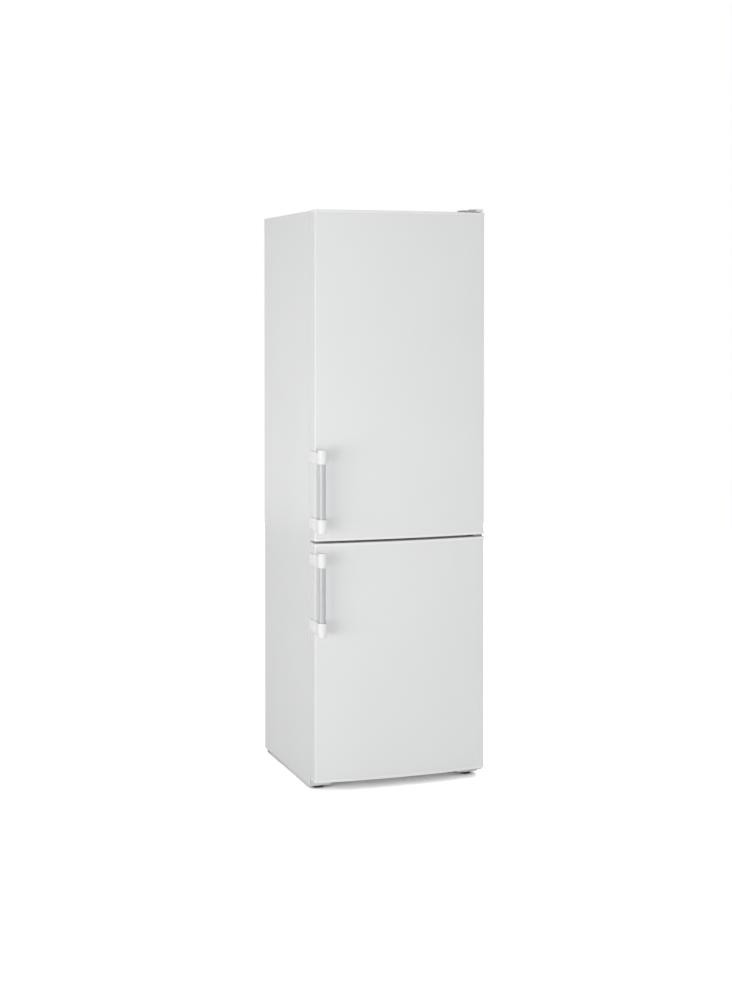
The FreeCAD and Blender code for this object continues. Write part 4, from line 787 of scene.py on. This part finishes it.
SEAL = seal_rubber()
SIDE_LIP, SEAL_WIDE, SEAL_CORNER = 0.005, 0.014, 0.018
profile = [(0.003, 0.0), (0.0035, 0.10), (0.0016, 0.2), (0.0012, 0.28), (0.0032, 0.4), (0.0034, 0.46)]
profile += [(0.0004, 0.56), (0.0, 0.62), (0.0, 0.92), (0.0006, 1.0)]
section = profile + [(SEAL_WIDE - inset, share) for inset, share in profile[::-1]]
for door in DOORS:
    low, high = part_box(f"{door}_gasket")
    reach = low.x - SIDE_LIP, high.x + SIDE_LIP, low.z, high.z, SEAL_CORNER
    outlines = [rounded_rectangle(*reach, inset) for inset, _ in section]
    seal = stack(outlines, [low.y + (high.y - low.y) * share for _, share in section], "y", loop=True)
    piece(f"{door}_seal", [seal], SEAL, door, "seal_rubber", f"{door}_gasket", crease=60)


# The pull handles: a satin aluminium tube between two white moulded levers. Each lever turns on a pin in
# a base that wraps the door's front edge, and pushes a plate against the cabinet when it is pulled.


def satin_aluminium():
    """Anodised aluminium: bright and even, brushed along its length."""
    made = finish("satin aluminium", (0.66, 0.67, 0.68), 0.55, metallic=0.75)
    brushed = 1.0, 1.0, 0.02
    tint(made, noise(made, 900.0, 2.0, brushed), (0.64, 0.65, 0.66), (0.70, 0.71, 0.72))
    gloss(made, noise(made, 700.0, 2.0, brushed), 0.50, 0.60)
    bump(made, noise(made, 1200.0, 1.0, (1.0, 1.0, 0.01)), 0.00002)
    return made


ALUMINIUM = satin_aluminium()
TUBE, KNUCKLE, KNUCKLE_TALL, ARM, CROWN, RIM = 0.0115, 0.015, 0.047, 0.038, 0.003, 0.001
PIVOT_X, PIVOT_Y, BOSS, PIN, LUG_HALF = -0.2965, CORNER_Y - 0.0115, 0.006, 0.005, 0.006
SIDE_OUT, BASE_FRONT, BASE_BACK, BASE_BEND = -0.304, CORNER_Y - 0.005, DOOR_BACK - 0.008, 0.009
WALL_X, WALL_Y, WALL, BASE_END = -0.3027, CORNER_Y + 0.0074, 0.0013, -0.2805
LUG_GAP, PLATE_SLOT, WEB_BACK = 0.0005, 0.0153, PIVOT_Y - 0.008
turn = np.linspace(0, math.pi / 2, 7)
knuckle = [(KNUCKLE - CROWN * (1 - math.cos(a)), CROWN * (1 - math.sin(a))) for a in turn[::-1]]
knuckle += [(KNUCKLE - RIM * (1 - math.cos(a)), KNUCKLE_TALL - RIM * (1 - math.sin(a))) for a in turn]
for door in DOORS:
    low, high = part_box(f"{door}_handle_bar")
    bar_x, bar_y = (low.x + high.x) / 2, (low.y + high.y) / 2
    bar = lathe(turned(TUBE, high.z - low.z, edge=0.0006), bar_x, bar_y, low.z, steps=96)
    piece(f"{door}_handle_tube", [bar], ALUMINIUM, f"{door}_handle", "handle_aluminium", f"{door}_handle_bar")

    def arm_line(inset):
        """The line round two circles, the knuckle's and the pivot boss's: an arc round each, joined by
        their common tangents."""
        wide, small = KNUCKLE * 0.97 - inset, BOSS - inset
        away = np.array([PIVOT_X - bar_x, PIVOT_Y - bar_y])
        lean = math.atan2(away[1], away[0])
        spread = math.acos((wide - small) / np.hypot(*away))
        round_bar = np.linspace(lean + spread, lean + 2 * math.pi - spread, 24)
        round_pivot = np.linspace(lean - spread, lean + spread, 14)
        return np.concatenate([
            np.column_stack([bar_x + wide * np.cos(round_bar), bar_y + wide * np.sin(round_bar)]),
            np.column_stack([PIVOT_X + small * np.cos(round_pivot), PIVOT_Y + small * np.sin(round_pivot)]),
        ])

    def web_line(inset):
        """The arm's line as far back as the slot that the base's lug stands in."""
        line = arm_line(inset + 0.0002)
        return np.column_stack([line[:, 0], np.minimum(line[:, 1], WEB_BACK)])

    def shell_line(inset):
        """The base in plan: from the door's bow forward, round the corner and back along the side, a thin
        wall over the pressure plate, and home along the door's own face."""
        bend = np.linspace(0, math.pi / 2, 9)
        arc_x = SIDE_OUT + BASE_BEND * (1 - np.sin(bend))
        arc = np.column_stack([arc_x, BASE_FRONT + BASE_BEND * (1 - np.cos(bend))])
        outer = np.concatenate([[[BASE_END, BASE_FRONT]], arc, [[SIDE_OUT, BASE_BACK]]])
        step = np.gradient(outer, axis=0)
        normal = np.column_stack([-step[:, 1], step[:, 0]]) / np.linalg.norm(step, axis=1, keepdims=True)
        face = door_line(0.0)
        face = face[(face[:, 0] < BASE_END + SUNK) & (face[:, 1] < WALL_Y - 0.0002)]
        wall = [[WALL_X, BASE_BACK], [WALL_X, WALL_Y], [-WIDTH, WALL_Y]]
        return np.concatenate([outer - normal * inset, wall, face])[::-1]

    levers, bases = [], []
    for way, inner in ((-1, low.z), (1, high.z)):
        profile = knuckle if way < 0 else [(r, KNUCKLE_TALL - h) for r, h in knuckle[::-1]]
        levers.append(lathe(profile, bar_x, bar_y, min(inner, inner + way * KNUCKLE_TALL), steps=64))
        z0, z1 = sorted((inner, inner + way * ARM))
        middle = (z0 + z1) / 2
        low_lug, high_lug = middle - LUG_HALF, middle + LUG_HALF
        levers.append(rounded(arm_line, z0, low_lug - LUG_GAP, edge=0.0015))
        levers.append(rounded(arm_line, high_lug + LUG_GAP, z1, edge=0.0015))
        levers.append(rounded(web_line, low_lug - 3 * LUG_GAP, high_lug + 3 * LUG_GAP, edge=0.0))
        bases.append(rounded(shell_line, z0, z1, edge=0.0012))
        filling = WALL_X - 0.0002, -WIDTH, WALL_Y - 0.0004, BASE_BACK - 0.0001
        for span in ((z0 + WALL, middle - PLATE_SLOT), (middle + PLATE_SLOT, z1 - WALL)):
            bases.append(soft_box(*filling, *span, corner=0.0002, edge=0.0001))
        pin = turned(PIN, 2 * LUG_HALF, edge=0.0006)
        bases.append(lathe(pin, PIVOT_X, PIVOT_Y, low_lug, steps=32))
        neck = PIVOT_X - PIN, PIVOT_X + PIN, PIVOT_Y, BASE_FRONT + SUNK, low_lug, high_lug
        bases.append(soft_box(*neck, corner=0.0004, edge=0.0004))
    piece(f"{door}_levers", levers, MOULDED, f"{door}_handle", "white_plastic", f"{door}_handle_brackets")
    piece(f"{door}_lever_bases", bases, MOULDED, door, "white_plastic", f"{door}_handle_bases")
dress(MOULDED, "white_plastic", "fridge_door_pressure_plates", "freezer_door_pressure_plates")


# The door racks: clear moulded troughs with leaning walls and rolled rims, which hang between the dykes
# of the doors' inner panels and lift out upwards.
for name in ("bottle", "middle", "upper"):
    low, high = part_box(f"door_rack_{name}")
    span = low.x, high.x, low.y, high.y, low.z, high.z
    trough = vessel(*span, wall=0.0025, corner=0.010, draft=0.0015, foot=0.005)
    piece(f"{name}_rack", [trough], CLEAR, f"door_rack_{name}", "clear_plastic", f"door_rack_{name}")


# The studio: a pale seamless floor, white where it is lit and with painted shade that greys it close to the
# object, and white air that gloss mirrors darker above eye height. Softboxes stand at the left, in front and
# behind. Gloss shows none of them but the dim screen beside the left one.
FLOOR_RADIUS, FLOOR_Z = 7.0, -0.0005
turn = np.linspace(0, 2 * math.pi, 96, endpoint=False)
ground = np.column_stack([FLOOR_RADIUS * np.cos(turn), FLOOR_RADIUS * np.sin(turn), np.full(96, FLOOR_Z)])
mesh = bpy.data.meshes.new("floor")
mesh.from_pydata(ground.tolist(), [], [list(range(96))])
floor = bpy.data.objects.new("floor", mesh)
bpy.context.scene.collection.objects.link(floor)
paper = bpy.data.materials.new("floor paper")
paper.use_nodes = True
tree = paper.node_tree
tree.nodes.clear()
plain = add_node(tree, "BsdfDiffuse", {"Color": (0.82, 0.82, 0.82, 1.0)}).outputs["BSDF"]
# Painted shade: ambient occlusion within 4 cm greys the floor where it meets the object, a painted contact
# shadow.
open_air = add_node(tree, "AmbientOcclusion", {"Distance": 0.04}).outputs["AO"]
painted_contact_shade = add_node(tree, "MapRange", {"Value": open_air, "To Min": 1.25, "To Max": 2.7}).outputs["Result"]
bright = add_node(tree, "BsdfDiffuse", {"Color": painted_contact_shade}).outputs["BSDF"]
camera_ray = add_node(tree, "LightPath").outputs["Is Camera Ray"]
seen = add_node(tree, "MixShader", {"Fac": camera_ray, 1: plain, 2: bright}).outputs["Shader"]
add_node(tree, "OutputMaterial", {"Surface": seen})
mesh.materials.append(paper)

world = bpy.data.worlds.new("white studio")
bpy.context.scene.world = world
world.use_nodes = True
tree = world.node_tree
tree.nodes.clear()
AIR, MIRRORED_LOW, MIRRORED_HIGH = 0.61, 1.0, 0.5


def combine(operation, first, second):
    """The maximum or the product of two numbers, each a value or a node's output."""
    return add_node(tree, "Math", {0: first, 1: second}, operation=operation).outputs["Value"]


ray = add_node(tree, "LightPath").outputs
way = add_node(tree, "TexCoord").outputs["Generated"]
rise = add_node(tree, "SeparateXYZ", {"Vector": way}).outputs["Z"]
fade = {"Value": rise, "From Min": -0.1, "From Max": 0.14, "To Min": MIRRORED_LOW, "To Max": MIRRORED_HIGH}
mirrored = combine("MULTIPLY", ray["Is Glossy Ray"], add_node(tree, "MapRange", fade).outputs["Result"])
shown = combine("MAXIMUM", ray["Is Camera Ray"], ray["Is Transmission Ray"])
level = combine("MAXIMUM", combine("MAXIMUM", shown, mirrored), AIR)
sky = add_node(tree, "Background", {"Color": (1.0, 1.0, 1.0, 1.0), "Strength": level}).outputs["Background"]
add_node(tree, "OutputWorld", {"Surface": sky})


MIDDLE_Z = 0.9


def lamp(name, place, wide, tall, power, mirrored=True):
    """A softbox at a place, turned to face the middle of the object. Gloss may mirror it or not."""
    light = bpy.data.lights.new(name, "AREA")
    light.shape = "RECTANGLE"
    light.size, light.size_y = wide, tall
    light.energy = power
    made = bpy.data.objects.new(name, light)
    made.location = place
    made.visible_glossy = mirrored
    away = np.array(place) - (0.0, 0.0, MIDDLE_Z)
    flat = math.hypot(away[0], away[1])
    made.rotation_euler = (math.atan2(flat, away[2]), 0.0, math.atan2(away[0], -away[1]))
    bpy.context.scene.collection.objects.link(made)


lamp("left softbox", (-4.3, -2.3, 0.5), 3.4, 0.9, 44.0, mirrored=False)
lamp("left screen", (-4.2, -2.4, 0.95), 3.4, 1.8, 40.0)
lamp("front softbox", (0.5, -4.35, 0.60), 3.6, 1.1, 39.5, mirrored=False)
lamp("rear right softbox", (2.6, 3.2, 3.0), 2.4, 2.4, 40.0, mirrored=False)

lens = bpy.data.cameras.new("camera")
lens.sensor_width = 36.0
lens.lens = 62.876
lens.shift_y = -0.16
camera = bpy.data.objects.new("camera", lens)
camera.location = (-2.0094, -5.7258, 1.5856)
camera.rotation_euler = (math.radians(89.016), 0.0, math.radians(-19.122))
bpy.context.scene.collection.objects.link(camera)
bpy.context.scene.camera = camera
bpy.context.scene.view_settings.view_transform = "Standard"
